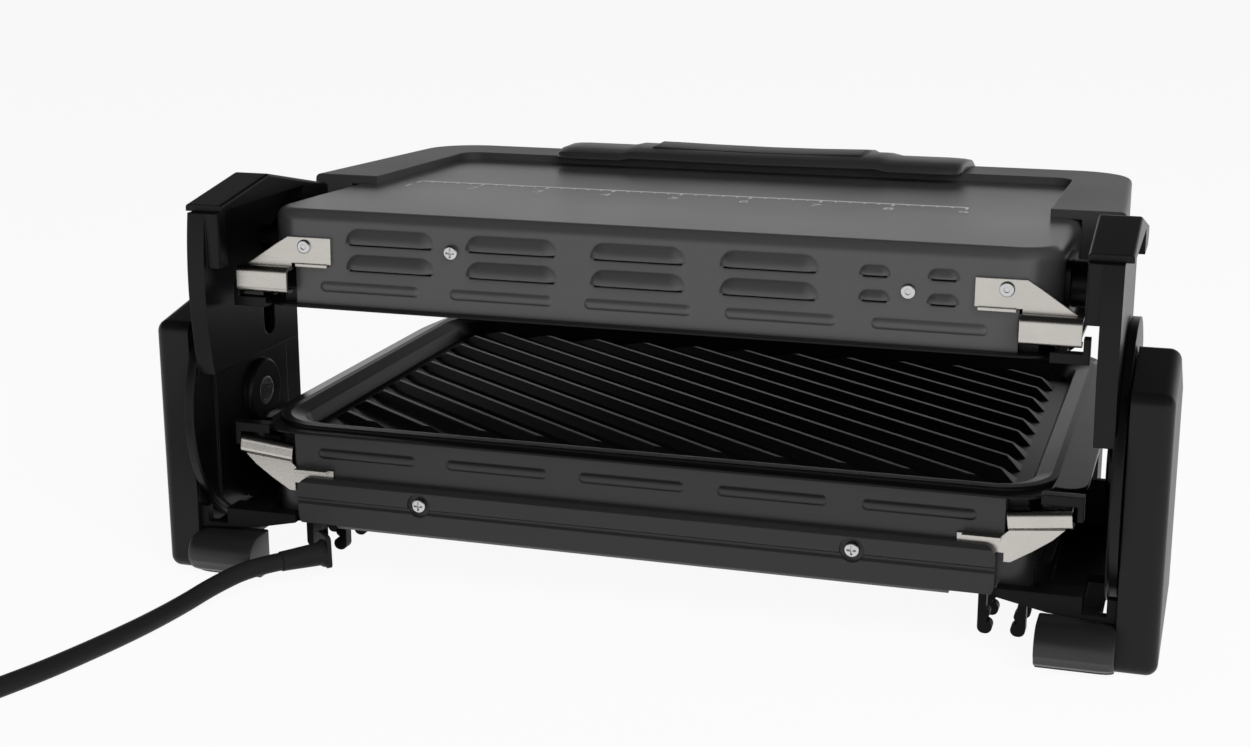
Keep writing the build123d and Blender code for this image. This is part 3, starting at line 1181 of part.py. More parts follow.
# Mains plug: a moulded body with a tapered sleeve and two round pins, lying beside the coil
PLUG_AXIS = coil_path @ 1
PLUG_SLEEVE = 22.0
PLUG_BODY = 38.0
PLUG_HALF_WIDTH = 15.0
PIN_RADIUS = 2.4
PIN_LENGTH = 19.0
PIN_HALF_SPACING = 9.5


def make_plug_body():
    sleeve_end_y = PLUG_AXIS.Y - PLUG_SLEEVE
    body_x = (PLUG_AXIS.X - PLUG_HALF_WIDTH, PLUG_AXIS.X + PLUG_HALF_WIDTH)
    body = block(body_x, (sleeve_end_y - PLUG_BODY, sleeve_end_y), (0, 2 * PLUG_AXIS.Z))
    body = fillet(body.edges().filter_by(Axis.Y), 9)
    body = fillet(body.faces().sort_by(Axis.Y)[-1].edges(), 5)
    body = fillet(body.faces().sort_by(Axis.Y)[0].edges(), 1.5)
    sleeve_middle = Pos(PLUG_AXIS.X, PLUG_AXIS.Y - PLUG_SLEEVE / 2, PLUG_AXIS.Z)
    sleeve = sleeve_middle * Rot(90, 0, 0) * Cone(5, 7.5, PLUG_SLEEVE)
    body += sleeve
    for index in range(3):
        ring_y = PLUG_AXIS.Y - 4 - 4.5 * index
        ring = rod_y(9, ring_y - 1.2, ring_y, PLUG_AXIS.X, PLUG_AXIS.Z)
        body -= ring - rod_y(4.9 + 0.45 * index, ring_y - 2, ring_y + 1, PLUG_AXIS.X, PLUG_AXIS.Z)
    return body


def make_plug_pin(side):
    face_y = PLUG_AXIS.Y - PLUG_SLEEVE - PLUG_BODY
    pin = rod_y(PIN_RADIUS, face_y - PIN_LENGTH, face_y, PLUG_AXIS.X + side * PIN_HALF_SPACING, PLUG_AXIS.Z)
    return fillet(pin.edges().sort_by(Axis.Y)[0], 1.6)


save("plug_body", make_plug_body())
save("plug_pins", Compound(children=[make_plug_pin(side) for side in (-1, 1)]))
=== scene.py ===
# %% [markdown]
# # A contact grill, dressed in Blender
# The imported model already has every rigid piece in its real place, in metres.
# This file loads it as a frame, lays the mains cord as one smooth curve and models the
# handle and the rear feet again with softer shapes. Then it gives each piece its
# finish, prints a scale on the lid, and sets up the floor, the world and the lamps.

# %% Load the frame
import math

import bpy
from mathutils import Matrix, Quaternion, Vector


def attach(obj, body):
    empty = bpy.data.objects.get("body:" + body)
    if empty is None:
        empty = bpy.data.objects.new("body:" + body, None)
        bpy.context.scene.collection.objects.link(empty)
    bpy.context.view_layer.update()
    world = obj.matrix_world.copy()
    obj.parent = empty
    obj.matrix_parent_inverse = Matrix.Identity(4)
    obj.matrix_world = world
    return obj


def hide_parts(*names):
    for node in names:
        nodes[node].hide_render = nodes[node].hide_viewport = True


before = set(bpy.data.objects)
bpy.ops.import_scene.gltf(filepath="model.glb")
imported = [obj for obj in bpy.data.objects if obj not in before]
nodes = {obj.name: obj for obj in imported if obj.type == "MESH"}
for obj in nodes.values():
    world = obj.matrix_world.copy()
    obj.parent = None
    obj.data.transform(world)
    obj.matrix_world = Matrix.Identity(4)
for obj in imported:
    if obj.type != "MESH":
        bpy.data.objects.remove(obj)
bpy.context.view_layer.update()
print("nodes loaded:", len(nodes))

# %% [markdown]
# ## The camera
# The picture looks at the back of the grill from a little above, so the hinge side,
# the louvres and the lower plate all show. The place and the lens were worked out from
# edges that are level or upright on the real thing.

# %% Camera
FOCAL_PIXELS = 1967
PICTURE_WIDTH = 1250
SENSOR_WIDTH = 36
CAMERA_PLACE = (-0.2199, 0.8218, 0.2889)
NEAREST_SEEN = 0.01
YAW = math.radians(-17.55)
PITCH = math.radians(14.50)
ROLL = math.radians(-0.10)

camera = bpy.data.objects.new("camera", bpy.data.cameras.new("camera"))
bpy.context.collection.objects.link(camera)
camera.data.sensor_width = SENSOR_WIDTH
camera.data.lens = SENSOR_WIDTH * FOCAL_PIXELS / PICTURE_WIDTH
camera.location = CAMERA_PLACE
flat_reach = math.cos(PITCH)
looking = Vector((-math.sin(YAW) * flat_reach, -math.cos(YAW) * flat_reach, -math.sin(PITCH)))
camera.rotation_mode = "QUATERNION"
camera.rotation_quaternion = looking.to_track_quat("-Z", "Y") @ Quaternion((0, 0, 1), ROLL)
camera.data.clip_start = NEAREST_SEEN
bpy.context.scene.camera = camera
bpy.context.scene.view_settings.view_transform = "Standard"
print("lens:", round(camera.data.lens, 2), "mm")

# %% [markdown]
# ## The mains cord
# A rubber cord is stiff enough to leave its sleeve straight, then its weight lays it on
# the table. A NURBS curve of order 3 runs smoothly inside its control points, so a few
# well-placed points are enough. The length that nobody sees is put away as a coil:
# two and a half turns that spiral in on the table and out again on top of themselves.
# The third half turn climbs from the lower layer to the upper one. Places are in
# millimetres of a drawing whose origin lies 110 mm behind the frame's, so a shift is
# added to each Y.

# %% Cord route
CORD_RADIUS = 0.00375
FRAME_SHIFT_Y = 110.0
ROUTE = [
    (146.898, 23.26, 10.599),
    (155.736, 32.789, 10.338),
    (164.6, 47.6, 7.0),
    (169.6, 64.5, 4.2),
    (173.2, 87, 3.8),
    (178.2, 111, 3.8),
    (185.2, 138, 3.8),
    (194, 162, 3.8),
    (202, 184, 3.8),
    (202, 200, 3.8),
]
COIL_Y = 208
COIL_FIRST_X = 202
COIL_RADII = (44.2, 40.0, 35.8, 40.0, 44.2)
COIL_LAYER = 8.0
CLIMBING_HALF_TURN = 2
POINTS_PER_HALF_TURN = 6
TAIL_END_Y = 182


def coil_points():
    """Control points round the coil; each lies just outside the turn it shapes."""
    points = []
    start_x = COIL_FIRST_X
    side = 1
    low = ROUTE[-1][2]
    step = math.pi / POINTS_PER_HALF_TURN
    for index, radius in enumerate(COIL_RADII):
        middle_x = start_x + side * radius
        reach = side * radius / math.cos(step / 2)
        climb = COIL_LAYER if index == CLIMBING_HALF_TURN else 0
        for count in range(POINTS_PER_HALF_TURN):
            turn = (count + 0.5) * step
            rise = climb * (1 - math.cos(turn)) / 2
            x = middle_x - reach * math.cos(turn)
            y = COIL_Y + reach * math.sin(turn)
            points.append((x, y, low + rise))
        start_x += side * 2 * radius
        side = -side
        low += climb
    lead = COIL_RADII[-1] * math.tan(step / 2)
    return points + [(start_x, COIL_Y - lead, low), (start_x, TAIL_END_Y, low)]


def metres(point):
    """A point of the drawing, in millimetres, as a point of the frame, in metres."""
    x, y, z = point
    return Vector((x, y + FRAME_SHIFT_Y, z)) / 1000


print("route points:", len(ROUTE), "coil points:", len(coil_points()))

# %% Cord curve
curve = bpy.data.curves.new("mains_cord", "CURVE")
curve.dimensions = "3D"
curve.bevel_depth = 1.0
curve.bevel_resolution = 6
curve.resolution_u = 10
curve.use_fill_caps = True
line = curve.splines.new("NURBS")
controls = [metres(point) for point in ROUTE + coil_points()]
line.points.add(len(controls) - 1)
for target, place in zip(line.points, controls):
    target.co = (*place, 1)
    target.radius = CORD_RADIUS
line.order_u = 3
line.use_endpoint_u = True
cord = bpy.data.objects.new("mains_cord", curve)
bpy.context.collection.objects.link(cord)
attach(cord, "base")
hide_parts("power_cord", "cord_coil")
print("cord control points:", len(controls))

# %% [markdown]
# ## The handle and its grip pad
# The handle is a bar on the front of the lid rail: two low wings and a slightly raised
# middle with a thin pad on top. An outline is extruded step by step along the handle,
# a little up where the middle begins and a little down where it ends, and smaller at
# the tips. That gives soft shoulders without cutting anything. A Bevel modifier then
# rounds the long edges. The lid slopes down to the front, so the outline leans too.

# %% Lean of the lid
LEAN_PIVOT_Z = 141.3
LEAN_TURN = math.radians(1.84)


def leaned(y, z):
    """A place on the level lid, in drawing millimetres, as metres on the leaning lid."""
    rise = z - LEAN_PIVOT_Z
    level_y = y * math.cos(LEAN_TURN) - rise * math.sin(LEAN_TURN)
    level_z = y * math.sin(LEAN_TURN) + rise * math.cos(LEAN_TURN) + LEAN_PIVOT_Z
    return (level_y + FRAME_SHIFT_Y) / 1000, level_z / 1000


def drop_all():
    """Deselects every object, so that the next operator works on its own piece."""
    bpy.ops.object.select_all(action="DESELECT")


print("lean of the lid:", round(math.degrees(LEAN_TURN), 2), "degrees")

# %% Bar from an outline
BEVEL_SEGMENTS = 4
SHARP_ANGLE = math.radians(28)


def add_bar(name, outline, stations, rounding):
    """Extrudes an outline along X; a station is (x, rise, scale), in millimetres."""
    drop_all()
    bpy.ops.mesh.primitive_circle_add(vertices=len(outline), fill_type="NGON")
    bar = bpy.context.object
    bar.name = name
    middle = Vector((0, *[sum(axis) / len(outline) for axis in zip(*outline)]))
    first_x, first_rise, first_scale = stations[0]
    for vertex, (y, z) in zip(bar.data.vertices, outline):
        spot = middle + (Vector((0, y, z)) - middle) * first_scale
        vertex.co = (first_x / 1000, spot.y, spot.z + first_rise / 1000)
    bpy.ops.object.mode_set(mode="EDIT")
    bpy.ops.mesh.select_all(action="SELECT")
    for (x, rise, scale), (next_x, next_rise, next_scale) in zip(stations, stations[1:]):
        step = ((next_x - x) / 1000, 0, (next_rise - rise) / 1000)
        bpy.ops.mesh.extrude_region_move(TRANSFORM_OT_translate={"value": step})
        centre = (next_x / 1000, middle.y, middle.z + next_rise / 1000)
        growth = next_scale / scale
        bpy.ops.transform.resize(value=(1, growth, growth), center_override=centre)
    bpy.ops.mesh.select_all(action="SELECT")
    bpy.ops.mesh.normals_make_consistent(inside=False)
    bpy.ops.object.mode_set(mode="OBJECT")
    soften = bar.modifiers.new("soften", "BEVEL")
    soften.width = rounding / 1000
    soften.segments = BEVEL_SEGMENTS
    soften.angle_limit = SHARP_ANGLE
    bpy.ops.object.modifier_apply(modifier="soften")
    bpy.ops.object.shade_smooth()
    return bar


# %% Handle and pad
HANDLE_OUTLINE = [
    (-176, 157.7), (-177.5, 160.8), (-186, 162.6), (-205, 163), (-226, 160.6), (-243, 154.5),
    (-241, 149), (-232, 147), (-223.1, 149.5), (-223.1, 155), (-200, 157.7),
]
HANDLE_STATIONS = [
    (-97.8, 0, 0.8), (-96.3, 0, 0.9), (-93, 0, 0.97), (-88, 0, 1), (-64, 0, 1), (-59, 1.1, 1),
    (0, 0.6, 1),
    (59, 1.1, 1), (64, 0, 1), (88, 0, 1), (93, 0, 0.97), (96.3, 0, 0.9), (97.8, 0, 0.8),
]
HANDLE_ROUNDING = 1.6
PAD_OUTLINE = [
    (-186, 163), (-187, 164.3), (-205, 165.1), (-226, 162.9), (-230, 160.2), (-205, 162.5),
]
PAD_STATIONS = [
    (-53, -1.4, 0.94), (-50, 0, 1), (-25, -0.6, 1), (0, -0.8, 1),
    (25, -0.6, 1), (50, 0, 1), (53, -1.4, 0.94),
]
PAD_ROUNDING = 0.5


def add_lid_bar(name, outline, stations, rounding, node):
    """A bar on the leaning lid, in place of a piece of the frame."""
    bar = add_bar(name, [leaned(*spot) for spot in outline], stations, rounding)
    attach(bar, "lid")
    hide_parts(node)
    return bar


handle = add_lid_bar(
    "lid_handle", HANDLE_OUTLINE, HANDLE_STATIONS, HANDLE_ROUNDING, "handle"
)
grip_pad = add_lid_bar(
    "grip_pad", PAD_OUTLINE, PAD_STATIONS, PAD_ROUNDING, "handle_pad"
)
print("handle faces:", len(handle.data.polygons), "pad faces:", len(grip_pad.data.polygons))

# %% [markdown]
# ## Rear feet
# Each rear foot is a lying half barrel on a low base, and its outer end meets the cheek.
# An outline of the barrel and base, extruded in steps that shrink near the end, gives
# the soft end without any cutting. One point of the arc lies a little deeper and draws
# the shallow line along the barrel.

# %% Foot outline
FOOT_AXIS_Y = 18.8
FOOT_AXIS_Z = 10.2
FOOT_RADIUS = 8.4
FOOT_ARC_STEPS = 12
FOOT_FRONT_Y = 9
FOOT_BASE_Y = 17.6
FOOT_BASE_Z = 1.7
FOOT_LINE_STEP = 8
FOOT_LINE_DEPTH = 0.5
FOOT_ROUNDING = 0.4
FOOT_END_X = 188.4
FOOT_STATIONS = [
    (159.5, 0, 0.97), (160, 0, 1), (FOOT_END_X - 5, 0, 1), (FOOT_END_X - 2.6, 0, 0.98),
    (FOOT_END_X - 1, 0, 0.94), (FOOT_END_X, 0, 0.88),
]
foot_outline = [(FOOT_FRONT_Y, 0), (FOOT_FRONT_Y, FOOT_AXIS_Z + FOOT_RADIUS)]
for index in range(FOOT_ARC_STEPS + 1):
    turn = math.pi * index / FOOT_ARC_STEPS
    reach = FOOT_RADIUS - (FOOT_LINE_DEPTH if index == FOOT_LINE_STEP else 0)
    y = FOOT_AXIS_Y + reach * math.sin(turn)
    z = FOOT_AXIS_Z + reach * math.cos(turn)
    foot_outline.append((y, z))
foot_outline += [(FOOT_BASE_Y, FOOT_BASE_Z), (FOOT_BASE_Y, 0)]
foot_metres = [((y + FRAME_SHIFT_Y) / 1000, z / 1000) for y, z in foot_outline]
print("points of the outline:", len(foot_outline))

# %% Feet
for side, sign in (("right", -1), ("left", 1)):
    stations = [(sign * x, rise, scale) for x, rise, scale in FOOT_STATIONS]
    foot = add_bar(f"rear_foot_barrel_{side}", foot_metres, stations, FOOT_ROUNDING)
    # Scaling there and back may leave the sole a rounding error below the table.
    for vertex in foot.data.vertices:
        vertex.co.z = max(vertex.co.z, 0)
    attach(foot, "base")
    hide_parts(f"rear_foot_{side}")
print("foot faces:", len(foot.data.polygons))

# %% [markdown]
# ## Dark trays as shade in the pockets
# Each arm has a notch that clears the rear beam when the lid opens. A small dark tray on
# the base, under the notch, is painted shade: it stands in for the shade seen through the
# notch, so that no daylight shows there. It is a plate whose top face is inset and
# pressed down a little.

# %% Pocket trays
TRAY_X = (174.2, 182.1)
TRAY_Y = (-34.5, 15.0)
TRAY_Z = (16.8, 18.0)
TRAY_RIM = 0.6
TRAY_WELL = 0.3


def add_shade_tray(name, side):
    """A plate beside the rear beam with a shallow well in its top."""
    drop_all()
    bpy.ops.mesh.primitive_plane_add(size=1)
    tray = bpy.context.object
    tray.name = name
    for vertex in tray.data.vertices:
        x = TRAY_X[vertex.co.x > 0] * side
        y = TRAY_Y[vertex.co.y > 0] + FRAME_SHIFT_Y
        vertex.co = (x / 1000, y / 1000, TRAY_Z[0] / 1000)
    bpy.ops.object.mode_set(mode="EDIT")
    bpy.ops.mesh.select_all(action="SELECT")
    thickness = (TRAY_Z[1] - TRAY_Z[0]) / 1000
    bpy.ops.mesh.extrude_region_move(TRANSFORM_OT_translate={"value": (0, 0, thickness)})
    bpy.ops.mesh.inset(thickness=TRAY_RIM / 1000, use_outset=False)
    bpy.ops.transform.translate(value=(0, 0, -TRAY_WELL / 1000))
    bpy.ops.mesh.select_all(action="SELECT")
    bpy.ops.mesh.normals_make_consistent(inside=False)
    bpy.ops.object.mode_set(mode="OBJECT")
    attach(tray, "base")
    return tray


trays = [add_shade_tray("pocket_tray_right", -1), add_shade_tray("pocket_tray_left", 1)]
print("trays:", [tray.name for tray in trays])

# %% [markdown]
# ## Shader expressions
# Materials are easier to read as sums. The first class wraps one output of a node, so
# that `a * 0.5 + b` builds the Math nodes. The second is a material: one method adds a
# node from its type, its settings and what goes into its sockets, and the others use it
# for noise, colour blends, bumps and softened edges. Lengths in materials are metres.


# %% Wires between nodes
class Wire:
    """An output of a node that can be added, multiplied and so on."""

    def __init__(self, material, socket):
        self.material = material
        self.socket = socket

    def math(self, operation, other):
        return self.material.node("ShaderNodeMath", {"operation": operation}, {0: self, 1: other})

    def __add__(self, other):
        return self.math("ADD", other)

    def __mul__(self, other):
        return self.math("MULTIPLY", other)

    def __sub__(self, other):
        return self.math("SUBTRACT", other)

    def __rsub__(self, other):
        return self * -1 + other

    def clamped(self):
        return self.material.node("ShaderNodeClamp", {}, {"Value": self})


# %% Finish of a surface
EDGE_SAMPLES = 4
EDGE_GAIN = 3.0


class Finish:
    """A node material for one finish of the grill."""

    def __init__(self, name, **constants):
        self.data = bpy.data.materials.new(name)
        self.data.use_nodes = True
        self.tree = self.data.node_tree
        self.shader = self.tree.nodes["Principled BSDF"]
        self.set(**constants)

    def feed(self, made, inputs):
        """Links wires to a node's sockets and sets plain values; a colour is (r, g, b)."""
        for key, value in inputs.items():
            socket = made.inputs[key]
            if isinstance(value, Wire):
                self.tree.links.new(value.socket, socket)
            elif socket.type == "RGBA":
                socket.default_value = (*value, 1)
            else:
                socket.default_value = value

    def set(self, **inputs):
        """Feeds the surface shader; Base_Color stands for its socket Base Color."""
        self.feed(self.shader, {key.replace("_", " "): value for key, value in inputs.items()})

    def node(self, kind, settings=None, inputs=None, output=0):
        """Adds a node and gives back one of its outputs."""
        made = self.tree.nodes.new(kind)
        for key, value in (settings or {}).items():
            setattr(made, key, value)
        self.feed(made, inputs or {})
        return Wire(self, made.outputs[output])

    def place(self, stretch=None):
        """Object coordinates, squeezed or stretched along the axes if asked."""
        spot = self.node("ShaderNodeTexCoord", output="Object")
        if stretch:
            spot = self.node("ShaderNodeMapping", {}, {"Vector": spot, "Scale": stretch})
        return spot

    def noise(self, scale, detail, roughness=0.5, stretch=None):
        inputs = {"Vector": self.place(stretch), "Scale": scale}
        inputs.update({"Detail": detail, "Roughness": roughness})
        return self.node("ShaderNodeTexNoise", {}, inputs)

    def blend(self, factor, first, second):
        inputs = {"Factor": factor, 6: first, 7: second}
        return self.node("ShaderNodeMix", {"data_type": "RGBA"}, inputs, output=2)

    def bump(self, height, distance, strength, normal):
        inputs = {"Height": height, "Distance": distance, "Strength": strength, "Normal": normal}
        return self.node("ShaderNodeBump", {}, inputs)

    def edges(self, radius):
        """Softened normals and a mask that is bright along sharp edges."""
        soft = self.node("ShaderNodeBevel", {"samples": EDGE_SAMPLES}, {"Radius": radius})
        flat = self.node("ShaderNodeNewGeometry", output="Normal")
        product = {"operation": "DOT_PRODUCT"}
        facing = self.node("ShaderNodeVectorMath", product, {0: soft, 1: flat}, output=1)
        return soft, ((1 - facing) * EDGE_GAIN).clamped()


# %% Colours and dressing
def grey(level):
    return (level, level, level)


def shaded(colour, factor):
    """The colour, darker or lighter by a factor."""
    return tuple(part * factor for part in colour)


def dress(finish, *names):
    """Gives the finish to these pieces."""
    for name in names:
        piece = nodes[name] if name in nodes else bpy.data.objects[name]
        piece.data.materials.clear()
        piece.data.materials.append(finish.data)


# %% [markdown]
# ## Plastics
# Moulded covers have a fine spark-eroded grain. It is far too small to model, so a
# noise with a very small distance in a Bump node does it, and the same noise moves the
# roughness a little so that the highlights break up. A mask from the Bevel node makes
# the edges a trace smoother, as hands and cloths polish them, and paints them lighter:
# partly wear, partly a painted highlight along every edge. The same node rounds the
# shading of sharp edges, which then catch the light as real mouldings do.
# The sheen is how strongly a plastic reflects head-on: 0.5 is usual, and the nearly
# black covers need less.


# %% Plastic finishes
PLASTIC_EDGE = 0.0007
GRAIN = 1400
GRAIN_DEPTH = 0.00003
GRAIN_STRENGTH = 0.7
GRAIN_GLOSS = 0.12
CLOUDS = 14
CLOUD_SHADE = 0.8
CLOUD_GLOSS = 0.1
WEAR_AND_HIGHLIGHT_SHARE = 0.7
WEAR_AND_HIGHLIGHT_SHADE = 2.4
WORN_GLOSS = 0.1
LOW_SHEEN = 0.08


def make_plastic(name, colour, roughness, grain=GRAIN, sheen=LOW_SHEEN):
    """A moulded plastic; grain is the scale of its noise, so more is finer."""
    finish = Finish(name, Specular_IOR_Level=sheen)
    soft, wear_and_highlight = finish.edges(PLASTIC_EDGE)
    fine = finish.noise(grain, 3)
    broad = finish.noise(CLOUDS, 3)
    body = finish.blend(broad, shaded(colour, CLOUD_SHADE), colour)
    varied = fine * GRAIN_GLOSS + broad * CLOUD_GLOSS + (roughness - CLOUD_GLOSS)
    # Along the edges the colour is painted lighter: partly wear, partly a painted highlight.
    finish.set(
        Base_Color=finish.blend(wear_and_highlight * broad * WEAR_AND_HIGHLIGHT_SHARE, body, shaded(colour, WEAR_AND_HIGHLIGHT_SHADE)),
        Roughness=varied - wear_and_highlight * WORN_GLOSS,
        Normal=finish.bump(fine, GRAIN_DEPTH, GRAIN_STRENGTH, soft),
    )
    return finish


cheek_finish = make_plastic("cheek plastic", grey(0.006), 0.38, sheen=0.24)
# The feet take a lighter copy of the black plastic: painted light where their round tops catch
# the lamps.
lit_foot_finish = make_plastic("foot plastic painted lighter", grey(0.014), 0.36, sheen=0.5)
# The arms and their caps take a darker copy of the black plastic: painted shade for their
# shadowed sides.
shaded_arm_finish = make_plastic("arm plastic painted darker", grey(0.0025), 0.36, sheen=0.24)
frame_finish = make_plastic("base plastic", grey(0.004), 0.42, sheen=0.12)
bar_finish = make_plastic("rear bar plastic", (0.018, 0.018, 0.0185), 0.36, 900, sheen=0.4)
rail_finish = make_plastic("rail plastic", grey(0.035), 0.42, sheen=0.5)
handle_finish = make_plastic("handle plastic", (0.024, 0.024, 0.0243), 0.36, sheen=0.4)
pad_finish = make_plastic("pad plastic", grey(0.02), 0.34, 2500)
rubber_finish = make_plastic("cord rubber", grey(0.016), 0.42, 700)
ceramic_finish = make_plastic("ceramic", (0.6, 0.58, 0.54), 0.7)
lamp_finish = make_plastic("lamp lens", (0.35, 0.03, 0.02), 0.2)
print("materials so far:", len(bpy.data.materials))

# %% [markdown]
# ## Painted sheet and coated castings
# The lid and the housing are pressed steel with a dark satin paint. Little of what they
# show is their own colour. Most of it is the bright surroundings, mirrored softly, so
# the sheen matters more than the colour. A faint orange peel and a fine texture break
# the reflections up. The plates are die castings with a smooth, nearly black coat.


# %% Paint and coating
PAINT_EDGE = 0.0008
PEEL = 420
PEEL_DEPTH = 0.00002
PEEL_STRENGTH = 0.6
FINE_TEXTURE = 2600
FINE_SHARE = 0.6
PAINT_CLOUDS = 9
PAINT_CLOUD_SHADE = 0.88
PAINT_GLOSS = 0.1
PAINT_WEAR_AND_HIGHLIGHT_SHARE = 0.5
PAINT_WEAR_AND_HIGHLIGHT_SHADE = 1.5


def make_paint(name, colour, roughness, sheen):
    """A paint or coat whose gloss varies a little from place to place."""
    finish = Finish(name, Specular_IOR_Level=sheen)
    soft, wear_and_highlight = finish.edges(PAINT_EDGE)
    peel = finish.noise(PEEL, 2)
    fine = finish.noise(FINE_TEXTURE, 2)
    broad = finish.noise(PAINT_CLOUDS, 4)
    body = finish.blend(broad, shaded(colour, PAINT_CLOUD_SHADE), colour)
    # Along the edges the colour is painted lighter: partly wear, partly a painted highlight.
    finish.set(
        Base_Color=finish.blend(wear_and_highlight * PAINT_WEAR_AND_HIGHLIGHT_SHARE, body, shaded(colour, PAINT_WEAR_AND_HIGHLIGHT_SHADE)),
        Roughness=broad * PAINT_GLOSS + fine * PAINT_GLOSS + (roughness - PAINT_GLOSS),
        Normal=finish.bump(peel + fine * FINE_SHARE, PEEL_DEPTH, PEEL_STRENGTH, soft),
    )
    return finish


sheet_finish = make_paint("painted sheet", (0.046, 0.046, 0.0472), 0.34, 0.72)
housing_finish = make_paint("painted housing", (0.009, 0.009, 0.0093), 0.36, 0.55)
plate_finish = make_paint("plate coating", grey(0.004), 0.3, 0.2)
print("materials so far:", len(bpy.data.materials))

# %% [markdown]
# ## Bare metals
# The brackets are nickel plated: metal with a warm tint, drawn into faint streaks by
# the rolling of the strip, with a few stains from heat. Screws and rivets are bright,
# and the steel of the hinges and slides is blackened.


# %% Metal finishes
METAL_EDGE = 0.0004
STAINS = 60
STAIN_SHADE = 0.74
STAIN_GLOSS = 0.14
ROLLING = 900
ROLLING_GLOSS = 0.12
METAL_NOISE_ROUGHNESS = 0.6
METAL_WEAR_AND_HIGHLIGHT_SHARE = 0.6
METAL_WEAR_AND_HIGHLIGHT_SHADE = 1.25
DENT_DEPTH = 0.00003
DENT_STRENGTH = 0.5


def make_metal(name, colour, roughness, streak=(1, 1, 1)):
    """A bare metal; a small number in streak draws its marks out along that axis."""
    finish = Finish(name)
    soft, wear_and_highlight = finish.edges(METAL_EDGE)
    stain = finish.noise(STAINS, 5, METAL_NOISE_ROUGHNESS)
    rolled = finish.noise(ROLLING, 3, METAL_NOISE_ROUGHNESS, streak)
    body = finish.blend(stain, shaded(colour, STAIN_SHADE), colour)
    # Along the edges the colour is painted lighter: partly wear, partly a painted highlight.
    finish.set(
        Base_Color=finish.blend(wear_and_highlight * METAL_WEAR_AND_HIGHLIGHT_SHARE, body, shaded(colour, METAL_WEAR_AND_HIGHLIGHT_SHADE)),
        Metallic=1.0,
        Roughness=stain * STAIN_GLOSS + rolled * ROLLING_GLOSS + (roughness - STAIN_GLOSS),
        Normal=finish.bump(stain * 0.5 + rolled * 0.5, DENT_DEPTH, DENT_STRENGTH, soft),
    )
    return finish


nickel_finish = make_metal("nickel plating", (0.66, 0.63, 0.59), 0.28, (0.08, 1, 1))
steel_finish = make_metal("bright steel", (0.72, 0.72, 0.73), 0.26)
dark_steel_finish = make_metal("blackened steel", grey(0.03), 0.45)
heater_finish = make_metal("oxidised heater steel", (0.2, 0.19, 0.18), 0.45)
pin_finish = make_metal("plated pins", (0.7, 0.68, 0.62), 0.25)
reflector_finish = make_metal("rolled aluminium", (0.6, 0.6, 0.61), 0.35, (1, 0.08, 1))
print("materials so far:", len(bpy.data.materials))

# %% Dress the frame
def pair(stem):
    """The names of a right and a left piece."""
    return [f"{stem}_right", f"{stem}_left"]


dress(cheek_finish, *pair("side_cheek"), "thermostat_knob", "plug_body", "drip_tray")
dress(lit_foot_finish, *pair("rear_foot_barrel"))
dress(frame_finish, "base_frame", "cord_outlet", "foot_pads")
dress(frame_finish, *pair("cord_clips"), *pair("pocket_tray"))
dress(shaded_arm_finish, *pair("arm"), *pair("arm_cap"))
dress(bar_finish, "rear_bar")
dress(rail_finish, "lid_rail", "front_panel")
dress(handle_finish, "lid_handle", "upper_release_button", "lower_release_button")
dress(pad_finish, "grip_pad")
dress(rubber_finish, "strain_relief", "mains_cord")
dress(sheet_finish, "lid_shell")
dress(housing_finish, "lower_housing")
dress(plate_finish, "lower_plate", "upper_plate")
dress(nickel_finish, *pair("upper_bracket"), *pair("lower_bracket"))
dress(dark_steel_finish, *pair("lid_hinge_plate"), *pair("slide_block"), "hub_clips")
dress(steel_finish, "lid_rivets", "lid_screw", "rear_bar_screws", *pair("hub_pin"))
dress(heater_finish, "upper_heater", "lower_heater")
dress(reflector_finish, "upper_reflector", "lower_reflector")
dress(ceramic_finish, "thermostat", "terminal_block")
dress(lamp_finish, "pilot_lamps")
dress(pin_finish, "plug_pins")
print("pieces of the frame:", len(nodes))

# %% [markdown]
# ## The printed scale on the lid
# The lid's top carries a fine pale line with marks, printed on the paint. Ink is only a
# few hundredths of a millimetre thick, so flat strips laid just over the paint are
# enough. They are drawn level, high above the lid. Then a Shrinkwrap modifier drops
# them on it, so they follow its slope. The marks are plain ticks and numbers. Places
# are in millimetres of the frame here; only the ink's lift and the height at which it
# is drawn are metres.

# %% Scale values
SCALE_Y = 7.0
SCALE_LEFT_X = 134.0
SCALE_RIGHT_X = -112.0
INK_WIDTH = 1.2
LINE_DEPTH = 2.4
TICK_COUNT = 9
TICK_LENGTH = 6.0
SMALL_PARTS = 5
SMALL_INK_WIDTH = INK_WIDTH * 0.8
SMALL_TICK_LENGTH = 3.2
NUMBER_HEIGHT = 10.0
NUMBER_GAP = 2.0
NUMBER_CURVE_STEPS = 3
CUT_SPACING = 12
INK_LIFT = 0.00008
PRINT_HEIGHT = 0.2
print("ticks:", TICK_COUNT, "parts between two ticks:", SMALL_PARTS)


# %% Ink strips
def add_strip(x, y, width, depth):
    """A flat rectangle of ink; places and sizes are in millimetres."""
    drop_all()
    bpy.ops.mesh.primitive_plane_add(size=1, location=(x / 1000, y / 1000, PRINT_HEIGHT))
    strip = bpy.context.object
    strip.scale = (width / 1000, depth / 1000, 1)
    bpy.ops.object.transform_apply(location=True, rotation=True, scale=True)
    cuts = round(width / CUT_SPACING)
    if cuts > 1:
        bpy.ops.object.mode_set(mode="EDIT")
        bpy.ops.mesh.select_all(action="SELECT")
        bpy.ops.mesh.subdivide(number_cuts=cuts)
        bpy.ops.object.mode_set(mode="OBJECT")
    return strip


